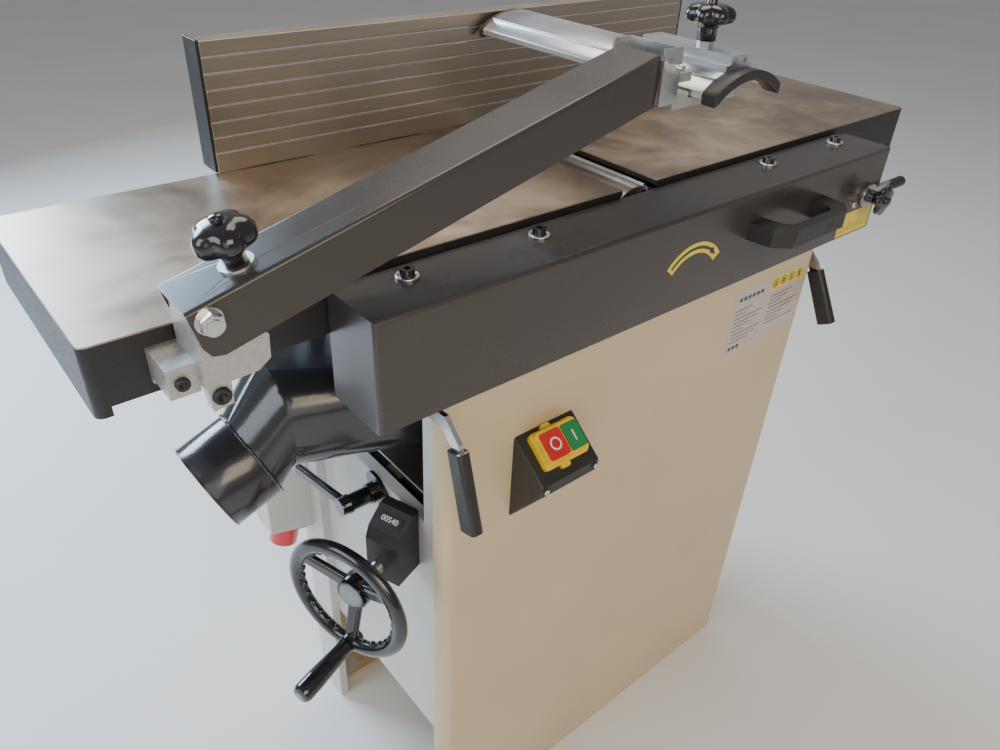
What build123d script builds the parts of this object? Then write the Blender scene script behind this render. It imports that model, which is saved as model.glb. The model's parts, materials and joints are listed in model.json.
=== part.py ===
"""Combined surface planer and thicknesser: fold-up tables, fence, bridge guard and rising table.

Units are millimetres.  The origin is on the floor under the middle of the cutterblock.
+X runs to the infeed end, -Y is the operator's side and +Z is up.
"""
import os
from math import asin, cos, radians, sin

from build123d import *

os.makedirs("parts", exist_ok=True)

# ---------------------------------------------------------------- driving dimensions
TABLE_TOP = 857.0            # working height of the surfacing tables
TABLE_END = 553.0            # half of the whole table length
TABLE_Y = 132.0              # half of the table width
LIP_X = 26.0                 # half of the gap between the table lips
PLATE = 14.0                 # thickness of a table's plate
SKIRT_Z = 806.0              # underside of a table's skirt
KNOB_X = 350.0               # the infeed depth lever's shaft
KNOB_Z = 796.0
RIB_CLEAR = 140.0            # the casting is a bare plate nearer to the cutterblock than this

CUTTER_Z = 821.0             # cutterblock axis
CUTTER_R = 33.0
KNIFE_R = 36.0
CUTTER_Y = 128.0             # half of the cutterblock length
SHAFT_R = 12.5
ROLLER_X = 62.0
ROLLER_Z = 802.0
ROLLER_R = 18.0

SIDE_X = 285.0               # recessed side panels
CABINET_X = 297.0            # folded front and rear covers
FRONT_Y = -193.0
REAR_Y = 147.0
SHEET = 2.0
CABINET_TOP = 738.0
SIDE_TOP = 550.0             # the cabinet ends are open above this height

BEAM_X = (-370.0, 384.0)
BEAM_Y = (-207.0, -136.0)
BEAM_Z = (745.5, 850.4)
BEAM_SHEET = 3.0
BEAM_BOLT_Y = -157.0
BEAM_BOLTS_OUT = (-307.0, -163.0)
BEAM_BOLTS_IN = (192.0, 334.0)

HINGE_Y = 188.0
HINGE_Z = 850.0
HINGE_R = 8.0

FENCE_X = (-342.0, 349.0)
FENCE_Y = 129.0
FENCE_H = 125.0
FENCE_Z = TABLE_TOP + 0.6

ARM_Y = (-185.0, -133.0)
ARM_PIVOT = (-480.5, 881.0)  # X and Z of the guard arm's pivot bolt
ARM_TILT = 14.5
ARM_SHEET = 3.0
HEAD_PIVOT_RUN = 419.0       # along the arm from its pivot to the head's pivot

GUARD_MID = 33.0             # X of the guard's crest
GUARD_HALF = 49.0            # half of the guard's width
GUARD_Y = (-200.0, 116.0)
GUARD_EDGE = 967.5           # height of the guard's upper edge
GUARD_CREST = 984.5
GUARD_WALL = 5.0

LIFT_TOP = 554.0             # thicknessing table surface at rest
LIFT_X = 262.0
LIFT_Y = 128.0
LIFT_SKIRT = 520.0
POST_R = 18.0
POSTS = ((-125.0, 60.0), (125.0, -60.0))
SCREW_R = 10.0

WHEEL_YAW = 20.1             # the handwheel shaft points at the lifting screw
WHEEL_Z = 494.5
WHEEL_RUN = 404.0            # from the lifting screw out to the rim's middle plane
WHEEL_R = 75.6
RIM_R = 8.5

MOTOR = (205.0, 290.0)       # X and Z of the motor shaft
MOTOR_R = 58.0
BELT_Y = (153.0, 167.0)
CUT_PULLEY_R = 24.0
MOTOR_PULLEY_R = 34.0

LOCK_Y = -56.0               # the height clamp's screw
LOCK_Z = 535.0

LOCK_PIVOT_Y = -160.0        # pivots of the two table locking levers
LOCK_PIVOT_Z = 723.0
LEVER_X = (302.0, 307.0)

PORT_R = 50.0
PORT_END = (-454.0, 0.0, 587.0)
PORT_TILT = 22.0

RUNNING = 0.05               # radial clearance of a shaft in its bore
GAP = 0.3                    # clearance between faces of pieces that move apart

# ---------------------------------------------------------------- shared planes
WHEEL_OUT = Vector(-cos(radians(WHEEL_YAW)), -sin(radians(WHEEL_YAW)), 0)
WHEEL_SIDE = Vector(sin(radians(WHEEL_YAW)), -cos(radians(WHEEL_YAW)), 0)


def block(x, y, z, mode=Mode.ADD):
    """Add or cut a box, given its low and high limit along each axis."""
    with Locations(((x[0] + x[1]) / 2, (y[0] + y[1]) / 2, (z[0] + z[1]) / 2)):
        Box(x[1] - x[0], y[1] - y[0], z[1] - z[0], mode=mode)


def rod(start, direction, radius, length, mode=Mode.ADD):
    """Add or cut a cylinder that leaves a start point in a direction."""
    with BuildSketch(Plane(origin=start, z_dir=direction)) as face:
        Circle(radius)
    extrude(face.sketch, amount=length, mode=mode)


def tube(start, direction, outer, inner, length):
    """Add a plain sleeve that leaves a start point in a direction."""
    with BuildSketch(Plane(origin=start, z_dir=direction)) as face:
        Circle(outer)
        Circle(inner, mode=Mode.SUBTRACT)
    extrude(face.sketch, amount=length)


def side_profile(points, y, thickness, mode=Mode.ADD):
    """Extrude a polygon of (X, Z) points from y towards +Y."""
    with BuildSketch(Plane(origin=(0, y, 0), x_dir=(1, 0, 0), z_dir=(0, -1, 0))) as face:
        with BuildLine():
            Polyline(*points, close=True)
        make_face()
    extrude(face.sketch, amount=-thickness, mode=mode)


def end_profile(points, x, thickness, mode=Mode.ADD):
    """Extrude a polygon of (Y, Z) points from x towards +X."""
    with BuildSketch(Plane(origin=(x, 0, 0), x_dir=(0, 1, 0), z_dir=(1, 0, 0))) as face:
        with BuildLine():
            Polyline(*points, close=True)
        make_face()
    extrude(face.sketch, amount=thickness, mode=mode)


def plan_profile(points, z, height, mode=Mode.ADD):
    """Extrude a polygon of (X, Y) points from z upwards."""
    with BuildSketch(Plane.XY.offset(z)) as face:
        with BuildLine():
            Polyline(*points, close=True)
        make_face()
    extrude(face.sketch, amount=height, mode=mode)


def wheel_plane(run, side=0.0, height=WHEEL_Z):
    """Plane across the handwheel shaft, with X to the side and Y up."""
    origin = WHEEL_OUT * run + WHEEL_SIDE * side + Vector(0, 0, height)
    return Plane(origin=origin, x_dir=WHEEL_SIDE, z_dir=WHEEL_OUT)


def arm_point(run, rise=0.0):
    """X and Z of a point along the tilted guard arm, measured from its pivot."""
    tilt = radians(ARM_TILT)
    x = ARM_PIVOT[0] + run * cos(tilt) - rise * sin(tilt)
    z = ARM_PIVOT[1] + run * sin(tilt) + rise * cos(tilt)
    return x, z


# ================================================================= cabinet (fixed)
FOOT_X = 240.0
FOOT_Y = (-120.0, 120.0)
PANEL_LOW = 200.0            # underside of the side panels; the covers go on down as legs

# recessed side panels with their flanges, and the shelf that carries the motor
with BuildPart() as cabinet_body:
    for side in (-1, 1):
        inner = sorted((side * SIDE_X, side * (SIDE_X - SHEET)))
        lip = sorted((side * SIDE_X, side * (SIDE_X - 14.0)))
        block(inner, (-173.0, 127.0), (PANEL_LOW, SIDE_TOP))
        block(lip, (-173.0, 127.0), (SIDE_TOP - SHEET, SIDE_TOP))
        block(lip, (-175.0, -173.0), (PANEL_LOW, CABINET_TOP - 3))
        block(lip, (125.0, 127.0), (PANEL_LOW, SIDE_TOP))
        block(inner, (-173.0, -143.0), (SIDE_TOP, CABINET_TOP - 3))
    block((-SIDE_X, SIDE_X), (-175.0, 127.0), (PANEL_LOW, PANEL_LOW + 6.0))
    rod(WHEEL_OUT * 290.0 + Vector(0, 0, WHEEL_Z), WHEEL_OUT, 14.0, 40.0, Mode.SUBTRACT)
    rod((-SIDE_X - 5.0, LOCK_Y, LOCK_Z), (1, 0, 0), 7.0, 20.0, Mode.SUBTRACT)
    for side in (-1, 1):
        rod((side * (SIDE_X - SHEET), LOCK_PIVOT_Y, LOCK_PIVOT_Z), (side, 0, 0), 6.0, 28.0)
        rod((side * (SIDE_X - SHEET), LOCK_PIVOT_Y, LOCK_PIVOT_Z), (side, 0, 0), 10.0,
            LEVER_X[0] - GAP - SIDE_X + SHEET)
cabinet_body.part.label = "cabinet_body"
export_step(cabinet_body.part, "parts/cabinet_body.step")


def cover_tray(outer_y, inner_y, top):
    """Folded sheet cover: a wide panel with rounded vertical corners and short returns."""
    low, high = sorted((outer_y, inner_y))
    with BuildSketch() as shell:
        with Locations((0, (low + high) / 2)):
            Rectangle(2 * CABINET_X, high - low)
        outer = shell.vertices().filter_by(lambda v: abs(v.Y - outer_y) < 0.01)
        fillet(outer, 16.0)
    extrude(shell.sketch, amount=top)
    with BuildSketch() as hollow:
        with Locations((0, (low + high) / 2)):
            Rectangle(2 * (CABINET_X - SHEET), high - low - 2 * SHEET)
        inner = hollow.vertices().filter_by(lambda v: abs(v.Y - outer_y) < SHEET + 0.01)
        fillet(inner, 13.5)
    extrude(hollow.sketch, amount=top - SHEET, mode=Mode.SUBTRACT)


with BuildPart() as front_cover:
    cover_tray(FRONT_Y, -175.0, CABINET_TOP)
    block((-SIDE_X + 14.0, SIDE_X - 14.0), (-177.5, -174.5), (60.0, CABINET_TOP - 20.0), Mode.SUBTRACT)
    for x in (-FOOT_X, FOOT_X):
        block((x - 30, x + 30), (-175.0, -100.0), (0.0, 6.0))
        rod((x, FOOT_Y[0], -1.0), (0, 0, 1), 6.0, 8.0, Mode.SUBTRACT)
front_cover.part.label = "front_cover"
export_step(front_cover.part, "parts/front_cover.step")

INLET_BOX = [(-CABINET_X + 1, 360), (-358, 377), (-358, 452), (-345, 470), (-CABINET_X + 1, 470)]

with BuildPart() as rear_cover:
    cover_tray(REAR_Y, 80.0, SIDE_TOP)
    block((-SIDE_X, SIDE_X), (79.0, REAR_Y - SHEET), (-1.0, SIDE_TOP + 1.0), Mode.SUBTRACT)
    block((-CABINET_X + 30, CABINET_X - 30), (REAR_Y - SHEET, REAR_Y), (SIDE_TOP, CABINET_TOP))
    rod((MOTOR[0], REAR_Y + 1.0, MOTOR[1]), (0, -1, 0), 20.0, 10.0, Mode.SUBTRACT)
    for x in (-FOOT_X, FOOT_X):
        block((x - 30, x + 30), (100.0, REAR_Y - SHEET), (0.0, 6.0))
        rod((x, FOOT_Y[1], -1.0), (0, 0, 1), 6.0, 8.0, Mode.SUBTRACT)
    side_profile(INLET_BOX, 104.0, 43.0)
rear_cover.part.label = "rear_cover"
export_step(rear_cover.part, "parts/rear_cover.step")

# ================================================================= cutterblock frame (fixed)


def side_frame(y):
    """Cast end plate that carries the cutterblock bearing and both feed rollers."""
    side_profile([(-150, 560), (150, 560), (150, 770), (128, 832), (44, 832), (34, 846),
                  (-34, 846), (-44, 832), (-84, 832), (-88, 790), (-150, 780)], y, 12.0)
    rod((0, y - 1, CUTTER_Z), (0, 1, 0), 26.0, 14.0, Mode.SUBTRACT)
    for x in (-ROLLER_X, ROLLER_X):
        rod((x, y - 1, ROLLER_Z), (0, 1, 0), 8.0 + RUNNING, 14.0, Mode.SUBTRACT)


KICK_X = 108.0
KICK_Z = 818.0

with BuildPart() as side_frames:
    side_frame(-150.0)
    side_frame(133.0)
    for x in (-140.0, 128.0):
        block((x, x + 12.0), (-191.0, -150.0), (560.0, 716.0))
    block((-150.0, 150.0), (133.0, REAR_Y - SHEET), (446.0, 560.0))
    rod((KICK_X, -150, KICK_Z), (0, 1, 0), 5.0, 295.0)
side_frames.part.label = "side_frames"
export_step(side_frames.part, "parts/side_frames.step")

with BuildPart() as cutter_bearings:
    tube((0, -150, CUTTER_Z), (0, 1, 0), 26.0, SHAFT_R + RUNNING, 12.0)
    tube((0, 133, CUTTER_Z), (0, 1, 0), 26.0, SHAFT_R + RUNNING, 12.0)
cutter_bearings.part.label = "cutter_bearings"
export_step(cutter_bearings.part, "parts/cutter_bearings.step")


FINGER_T = 7.0
FINGER_PITCH = 13.0

with BuildPart() as kickback_fingers:
    for index in range(-9, 10):
        y = index * FINGER_PITCH - FINGER_T / 2
        with BuildSketch(Plane(origin=(KICK_X, y, KICK_Z), x_dir=(1, 0, 0), z_dir=(0, -1, 0))):
            Circle(9.0)
            with BuildLine():
                Polyline((-9, 0), (9, 0), (7, -34), (-2, -42), (-6, -36), close=True)
            make_face()
            Circle(5.0 + RUNNING, mode=Mode.SUBTRACT)
        extrude(amount=-FINGER_T)
kickback_fingers.part.label = "kickback_fingers"
export_step(kickback_fingers.part, "parts/kickback_fingers.step")

# ================================================================= cutterblock and feed rollers
KNIVES = 3


def knife_slots():
    """Turn about the cutterblock axis to each knife slot."""
    return [index * 360.0 / KNIVES + 60.0 for index in range(KNIVES)]


def cutter_plane(angle, y=-CUTTER_Y):
    """Plane across the cutterblock with its X along the knife at this angle."""
    x_dir = (cos(radians(angle)), 0, sin(radians(angle)))
    return Plane(origin=(0, y, CUTTER_Z), x_dir=x_dir, z_dir=(0, 1, 0))


with BuildPart() as cutterblock:
    rod((0, -CUTTER_Y, CUTTER_Z), (0, 1, 0), CUTTER_R, 2 * CUTTER_Y)
    rod((0, -150, CUTTER_Z), (0, 1, 0), SHAFT_R, 320.0)
    for angle in knife_slots():
        with BuildSketch(cutter_plane(angle, -CUTTER_Y - 1)):
            with Locations((26.0, 0)):
                Rectangle(24.0, 16.0)
        extrude(amount=2 * CUTTER_Y + 2, mode=Mode.SUBTRACT)
cutterblock.part.label = "cutterblock"
export_step(cutterblock.part, "parts/cutterblock.step")

with BuildPart() as knives:
    for angle in knife_slots():
        with BuildSketch(cutter_plane(angle)):
            with BuildLine():
                Polyline((16, -8), (35.2, -8), (35.2, -6.4), (33, -5), (16, -5), close=True)
            make_face()
        extrude(amount=2 * CUTTER_Y)
knives.part.label = "knives"
export_step(knives.part, "parts/knives.step")

with BuildPart() as knife_gibs:
    for angle in knife_slots():
        with BuildSketch(cutter_plane(angle)):
            with BuildLine():
                Polyline((16, -5), (31.5, -5), (29, 4), (31, 8), (16, 8), close=True)
            make_face()
        extrude(amount=2 * CUTTER_Y)
        for index in range(-2, 3):
            spot = cutter_plane(angle, index * 48.0).offset(0)
            start = spot.origin + spot.x_dir * 26.0
            rod(start, spot.x_dir, 3.2, 12.0, Mode.SUBTRACT)
knife_gibs.part.label = "knife_gibs"
export_step(knife_gibs.part, "parts/knife_gibs.step")


def pulley(x, y, z, radius, bore):
    """Flanged belt pulley on a shaft along Y."""
    half = Plane(origin=(x, y[0], z), x_dir=(1, 0, 0), z_dir=(0, 0, 1))
    width = y[1] - y[0]
    with BuildSketch(half) as section:
        with BuildLine():
            Polyline((bore, 0), (radius + 5, 0), (radius + 5, 2), (radius, 3), (radius, width - 3),
                     (radius + 5, width - 2), (radius + 5, width), (bore, width), close=True)
        make_face()
    revolve(section.sketch, axis=Axis((x, 0, z), (0, 1, 0)))


with BuildPart() as cutter_pulley:
    pulley(0, (BELT_Y[0] - 2, BELT_Y[1] + 2), CUTTER_Z, CUT_PULLEY_R - 1, SHAFT_R)
cutter_pulley.part.label = "cutter_pulley"
export_step(cutter_pulley.part, "parts/cutter_pulley.step")

with BuildPart() as infeed_roller:
    rod((ROLLER_X, -118, ROLLER_Z), (0, 1, 0), ROLLER_R, 236.0)
    rod((ROLLER_X, -150, ROLLER_Z), (0, 1, 0), 8.0, 302.0)
    for index in range(24):
        angle = radians(index * 15.0)
        start = (ROLLER_X + ROLLER_R * cos(angle), -119, ROLLER_Z + ROLLER_R * sin(angle))
        rod(start, (0, 1, 0), 1.2, 238.0, Mode.SUBTRACT)
infeed_roller.part.label = "infeed_roller"
export_step(infeed_roller.part, "parts/infeed_roller.step")

with BuildPart() as outfeed_roller:
    rod((-ROLLER_X, -118, ROLLER_Z), (0, 1, 0), ROLLER_R, 236.0)
    rod((-ROLLER_X, -150, ROLLER_Z), (0, 1, 0), 8.0, 302.0)
outfeed_roller.part.label = "outfeed_roller"
export_step(outfeed_roller.part, "parts/outfeed_roller.step")

# ================================================================= motor and belt drive
with BuildPart() as motor:
    rod((MOTOR[0], -60, MOTOR[1]), (0, 1, 0), MOTOR_R, 170.0)
    rod((MOTOR[0], -96, MOTOR[1]), (0, 1, 0), MOTOR_R - 4, 36.0)
    rod((MOTOR[0], 110, MOTOR[1]), (0, 1, 0), 40.0, 16.0)
    for index in range(24):
        angle = radians(index * 15.0)
        start = (MOTOR[0] + (MOTOR_R + 1) * cos(angle), -50, MOTOR[1] + (MOTOR_R + 1) * sin(angle))
        rod(start, (0, 1, 0), 2.6, 150.0, Mode.SUBTRACT)
    block((MOTOR[0] - 35, MOTOR[0] + 35), (-20, 50), (MOTOR[1] + MOTOR_R - 8, MOTOR[1] + MOTOR_R + 34))
    block((MOTOR[0] - 55, MOTOR[0] + 55), (-40, 90), (PANEL_LOW + 6.0, PANEL_LOW + 14.0))
    block((MOTOR[0] - 30, MOTOR[0] + 30), (-30, 80), (PANEL_LOW + 14.0, MOTOR[1] - 40))
    rod((MOTOR[0], 60, MOTOR[1]), (0, 1, 0), 9.0 + RUNNING, 70.0, Mode.SUBTRACT)
motor.part.label = "motor"
export_step(motor.part, "parts/motor.step")


with BuildPart() as motor_pulley:
    pulley(MOTOR[0], (BELT_Y[0] - 2, BELT_Y[1] + 2), MOTOR[1], MOTOR_PULLEY_R - 1, 8.9)
    rod((MOTOR[0], 62, MOTOR[1]), (0, 1, 0), 9.0, BELT_Y[1] + 2 - 62)
motor_pulley.part.label = "motor_pulley"
export_step(motor_pulley.part, "parts/motor_pulley.step")


def belt_outline(growth):
    """Outline round both pulleys, grown outwards, in the belt's plane."""
    with BuildSketch(Plane(origin=(0, BELT_Y[0] + 1.5, 0), x_dir=(1, 0, 0), z_dir=(0, -1, 0))) as outline:
        with Locations((0, CUTTER_Z)):
            Circle(CUT_PULLEY_R + growth)
        with Locations(MOTOR):
            Circle(MOTOR_PULLEY_R + growth)
        make_hull()
    return outline


with BuildPart() as drive_belt:
    extrude(belt_outline(4.0).sketch, amount=-11.0)
    extrude(belt_outline(-0.7).sketch, amount=-11.0, mode=Mode.SUBTRACT)
drive_belt.part.label = "drive_belt"
export_step(drive_belt.part, "parts/drive_belt.step")


def belt_cover_outline(growth):
    """Outline of the belt cover on the back of the machine."""
    with BuildSketch(Plane(origin=(0, REAR_Y, 0), x_dir=(1, 0, 0), z_dir=(0, -1, 0))) as outline:
        with Locations((0, CUTTER_Z - 8)):
            Circle(34.0 + growth)
        with Locations((0, CABINET_TOP - 60)):
            Circle(46.0 + growth)
        with Locations(MOTOR):
            Circle(52.0 + growth)
        make_hull()
    return outline


with BuildPart() as belt_cover:
    extrude(belt_cover_outline(2.0).sketch, amount=-27.0)
    extrude(belt_cover_outline(0.0).sketch, amount=-25.0, mode=Mode.SUBTRACT)
    rod((0, REAR_Y - 1, CUTTER_Z), (0, 1, 0), 34.0, 26.0, Mode.SUBTRACT)
belt_cover.part.label = "belt_cover"
export_step(belt_cover.part, "parts/belt_cover.step")

# ================================================================= thicknessing table and its lift
with BuildPart() as thicknesser_table:
    block((-LIFT_X, LIFT_X), (-LIFT_Y, LIFT_Y), (LIFT_SKIRT, LIFT_TOP))
    block((-LIFT_X + 12, -6), (-LIFT_Y + 10, LIFT_Y - 10), (LIFT_SKIRT - 1, LIFT_TOP - 14), Mode.SUBTRACT)
    block((6, LIFT_X - 12), (-LIFT_Y + 10, LIFT_Y - 10), (LIFT_SKIRT - 1, LIFT_TOP - 14), Mode.SUBTRACT)
    for x, y in POSTS:
        rod((x, y, LIFT_SKIRT), (0, 0, 1), POST_R + 12, LIFT_TOP - LIFT_SKIRT - 1)
    rod((0, 0, LIFT_SKIRT), (0, 0, 1), 26.0, LIFT_TOP - LIFT_SKIRT - 1)
    chamfer(faces().sort_by(Axis.Z)[-1].edges(), 1.0)
    block((-LIFT_X - 5, -LIFT_X), (LOCK_Y - 14, LOCK_Y + 14), (320.0, LIFT_TOP - 4))
thicknesser_table.part.label = "thicknesser_table"
export_step(thicknesser_table.part, "parts/thicknesser_table.step")

with BuildPart() as lift_posts:
    for x, y in POSTS:
        rod((x, y, 300.0), (0, 0, 1), POST_R, LIFT_SKIRT - 300.0)
    rod((0, 0, 262.0), (0, 0, 1), SCREW_R, LIFT_SKIRT - 262.0)
    for index in range(28):
        with BuildSketch(Plane.XY.offset(268.0 + index * 7.0)):
            Circle(SCREW_R + 0.5)
            Circle(SCREW_R - 1.2, mode=Mode.SUBTRACT)
        extrude(amount=2.4, mode=Mode.SUBTRACT)
lift_posts.part.label = "lift_posts"
export_step(lift_posts.part, "parts/lift_posts.step")


BRIDGE_Z = (446.0, 458.0)

with BuildPart() as lift_bridge:
    block((-175, 175), (-191, 133), BRIDGE_Z)
    for x, y in POSTS:
        rod((x, y, 380), (0, 0, 1), POST_R + 14, BRIDGE_Z[0] - 380)
        rod((x, y, 379), (0, 0, 1), POST_R + RUNNING, BRIDGE_Z[1] - 378, Mode.SUBTRACT)
    rod((0, 0, 420), (0, 0, 1), 34.0, BRIDGE_Z[0] - 420)
    rod((0, 0, 419), (0, 0, 1), 14.0, BRIDGE_Z[1] - 418, Mode.SUBTRACT)
    with BuildSketch(wheel_plane(70.0)):
        with Locations((0, -10)):
            Rectangle(30.0, 40.0)
    extrude(amount=14.0)
    block((-92, -52), (-46, -6), (BRIDGE_Z[1] - 1, BRIDGE_Z[1] + 18))
    with BuildSketch(wheel_plane(40.0)):
        Circle(8.0 + RUNNING)
    extrude(amount=90.0, mode=Mode.SUBTRACT)
lift_bridge.part.label = "lift_bridge"
export_step(lift_bridge.part, "parts/lift_bridge.step")

GEAR_R = 26.0
GEAR_TEETH = 32

with BuildPart() as lift_gear:
    with BuildSketch(Plane.XZ):
        with BuildLine():
            Polyline((SCREW_R + GAP, BRIDGE_Z[1] + GAP), (22, BRIDGE_Z[1] + GAP), (22, 472),
                     (GEAR_R + 2, 476), (GEAR_R, 481), (16, 486), (SCREW_R + GAP, 486), close=True)
        make_face()
    revolve(axis=Axis.Z)
    for index in range(GEAR_TEETH):
        angle = radians(index * 360.0 / GEAR_TEETH)
        start = (GEAR_R * 1.12 * cos(angle), GEAR_R * 1.12 * sin(angle), 481.6)
        rod(start, (-cos(angle), -sin(angle), 0.42), 1.1, 15.0, Mode.SUBTRACT)
lift_gear.part.label = "lift_gear"
export_step(lift_gear.part, "parts/lift_gear.step")

SHAFT_END = WHEEL_RUN - 22.0

with BuildPart() as handwheel_shaft:
    with BuildSketch(wheel_plane(30.0)):
        Circle(8.0)
    extrude(amount=SHAFT_END - 30.0)
    with BuildSketch(wheel_plane(15.0)):
        Circle(7.3)
    with BuildSketch(wheel_plane(26.0)):
        Circle(12.8)
    loft()
    with BuildSketch(wheel_plane(26.0)):
        Circle(12.8)
    extrude(amount=9.0)
handwheel_shaft.part.label = "handwheel_shaft"
export_step(handwheel_shaft.part, "parts/handwheel_shaft.step")


# ----------------------------------------------------------------- handwheel and position gauge
with BuildPart() as position_gauge:
    start = WHEEL_SIDE * -15.0
    with BuildSketch(Plane(origin=start, x_dir=WHEEL_OUT, z_dir=WHEEL_SIDE * -1)):
        with BuildLine():
            Polyline((312, 479), (352, 479), (352, 531), (346, 544), (324, 560), (312, 560), close=True)
        make_face()
    extrude(amount=-42.0)
    start = WHEEL_SIDE * -10.0
    with BuildSketch(Plane(origin=start, x_dir=WHEEL_OUT, z_dir=WHEEL_SIDE * -1)):
        with BuildLine():
            Polyline((285, 484), (313, 484), (313, 545), (285, 545), close=True)
        make_face()
    extrude(amount=-32.0)
    block((-SIDE_X, -SIDE_X + 80), (-200, -60), (470, 570), Mode.SUBTRACT)
    with BuildSketch(wheel_plane(270.0)):
        Circle(8.0 + RUNNING)
    extrude(amount=90.0, mode=Mode.SUBTRACT)
position_gauge.part.label = "position_gauge"
export_step(position_gauge.part, "parts/position_gauge.step")

SPOKES = (30.0, 150.0, 270.0)

with BuildPart() as handwheel:
    with BuildSketch(Plane(origin=WHEEL_OUT * WHEEL_RUN + Vector(0, 0, WHEEL_Z),
                           x_dir=(0, 0, 1), z_dir=WHEEL_SIDE)):
        with Locations((WHEEL_R - RIM_R, 0)):
            Ellipse(RIM_R, RIM_R * 0.82)
    revolve(axis=Axis(WHEEL_OUT * WHEEL_RUN + Vector(0, 0, WHEEL_Z), WHEEL_OUT))
    with BuildSketch(wheel_plane(WHEEL_RUN - 34.0)):
        Circle(14.0)
    extrude(amount=12.0)
    with BuildSketch(wheel_plane(WHEEL_RUN - 24.0)):
        Circle(19.0)
    extrude(amount=16.0)
    for spoke in SPOKES:
        a = radians(spoke)
        near = wheel_plane(WHEEL_RUN - 14.0).origin + (WHEEL_SIDE * cos(a) + Vector(0, 0, sin(a))) * 14.0
        far = wheel_plane(WHEEL_RUN).origin + (WHEEL_SIDE * cos(a) + Vector(0, 0, sin(a))) * (WHEEL_R - 9)
        across = WHEEL_SIDE * -sin(a) + Vector(0, 0, cos(a))
        along = (far - near).normalized()
        with BuildSketch(Plane(origin=near, x_dir=across, z_dir=along)):
            RectangleRounded(17.0, 8.0, 3.5)
        with BuildSketch(Plane(origin=far, x_dir=across, z_dir=along)):
            RectangleRounded(15.0, 8.0, 3.5)
        loft()
    with BuildSketch(wheel_plane(WHEEL_RUN - 40.0)):
        Circle(8.0)
    extrude(amount=18.0, mode=Mode.SUBTRACT)
    with BuildSketch(wheel_plane(WHEEL_RUN - 10, 0, WHEEL_Z - 66.0)):
        Circle(9.5)
    extrude(amount=17.0)
    with BuildSketch(wheel_plane(WHEEL_RUN - 10.0, 0, WHEEL_Z - 66.0)):
        Circle(5.0)
    extrude(amount=18.0 + 66.0)
    with BuildSketch(wheel_plane(WHEEL_RUN - 8.1)):
        Circle(15.5)
    extrude(amount=1.7)
handwheel.part.label = "handwheel"
export_step(handwheel.part, "parts/handwheel.step")


GRIP_BASE = wheel_plane(WHEEL_RUN + 8.0, 0, WHEEL_Z - 66.0)


with BuildPart() as wheel_grip:
    with BuildSketch(Plane(origin=GRIP_BASE.origin, x_dir=(0, 0, 1), z_dir=WHEEL_SIDE)):
        with BuildLine():
            Polyline((5.0 + RUNNING, 0.3), (8.6, 0.3), (8.6, 3), (11.0, 50), (11.0, 67), (9.0, 71),
                     (5.5, 72), (0, 72), (0, 66.5), (5.0 + RUNNING, 66.5), close=True)
        make_face()
    revolve(axis=Axis(GRIP_BASE.origin, WHEEL_OUT))
wheel_grip.part.label = "wheel_grip"
export_step(wheel_grip.part, "parts/wheel_grip.step")

# ================================================================= height clamp on the cabinet side
with BuildPart() as clamp_plate:
    with BuildSketch(Plane(origin=(-SIDE_X, LOCK_Y, LOCK_Z), x_dir=(0, 1, 0), z_dir=(1, 0, 0))):
        with Locations((0, -2)):
            Ellipse(25.0, 17.0, rotation=38.0)
        Circle(5.0 + RUNNING, mode=Mode.SUBTRACT)
    extrude(amount=-4.0)
    tube((-SIDE_X - 4, LOCK_Y, LOCK_Z), (-1, 0, 0), 12.0, 5.0 + RUNNING, 12.0)
clamp_plate.part.label = "clamp_plate"
export_step(clamp_plate.part, "parts/clamp_plate.step")

CLAMP_FACE = -337.0


with BuildPart() as clamp_lever:
    rod((-SIDE_X - 16.3, LOCK_Y, LOCK_Z), (-1, 0, 0), 10.0, -CLAMP_FACE - SIDE_X - 16.3)
    with BuildSketch(Plane(origin=(CLAMP_FACE + 12, LOCK_Y, LOCK_Z), x_dir=(0, 1, 0), z_dir=(-1, 0, 0))):
        Circle(11.5)
    with BuildSketch(Plane(origin=(CLAMP_FACE, LOCK_Y, LOCK_Z), x_dir=(0, 1, 0), z_dir=(-1, 0, 0))):
        Circle(9.5)
    loft()
    near = Plane(origin=(CLAMP_FACE + 8, LOCK_Y + 6, LOCK_Z), x_dir=(0, 0, 1), z_dir=(0, 1, 0))
    far = Plane(origin=(CLAMP_FACE - 2, LOCK_Y + 92, LOCK_Z - 6), x_dir=(0, 0, 1), z_dir=(0, 1, 0))
    with BuildSketch(near):
        RectangleRounded(12.0, 9.0, 3.0)
    with BuildSketch(far):
        RectangleRounded(14.0, 8.0, 3.0)
    loft()
    rod((-LIFT_X - 5.5, LOCK_Y, LOCK_Z), (-1, 0, 0), 5.0, -CLAMP_FACE - LIFT_X - 9.5)
clamp_lever.part.label = "clamp_lever"
export_step(clamp_lever.part, "parts/clamp_lever.step")

# ================================================================= surfacing tables
LUG_Z = (812.0, 832.0)


def table_side(near_x, far_x):
    """Table casting between two X limits, with its skirts and ribs, lip end first."""
    side = 1 if far_x > 0 else -1
    block(sorted((near_x, far_x)), (-TABLE_Y, TABLE_Y), (TABLE_TOP - PLATE, TABLE_TOP))
    for y in (-TABLE_Y, TABLE_Y - 10.0):
        block(sorted((side * RIB_CLEAR, far_x)), (y, y + 10.0), (SKIRT_Z, TABLE_TOP - PLATE))
    block(sorted((far_x, far_x - side * 12.0)), (-TABLE_Y, TABLE_Y), (798.0, TABLE_TOP - PLATE))
    for x in (RIB_CLEAR, 210.0, 300.0, 400.0):
        block(sorted((side * x, side * (x + 9.0))), (-TABLE_Y, TABLE_Y), (SKIRT_Z, TABLE_TOP - PLATE))


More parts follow.
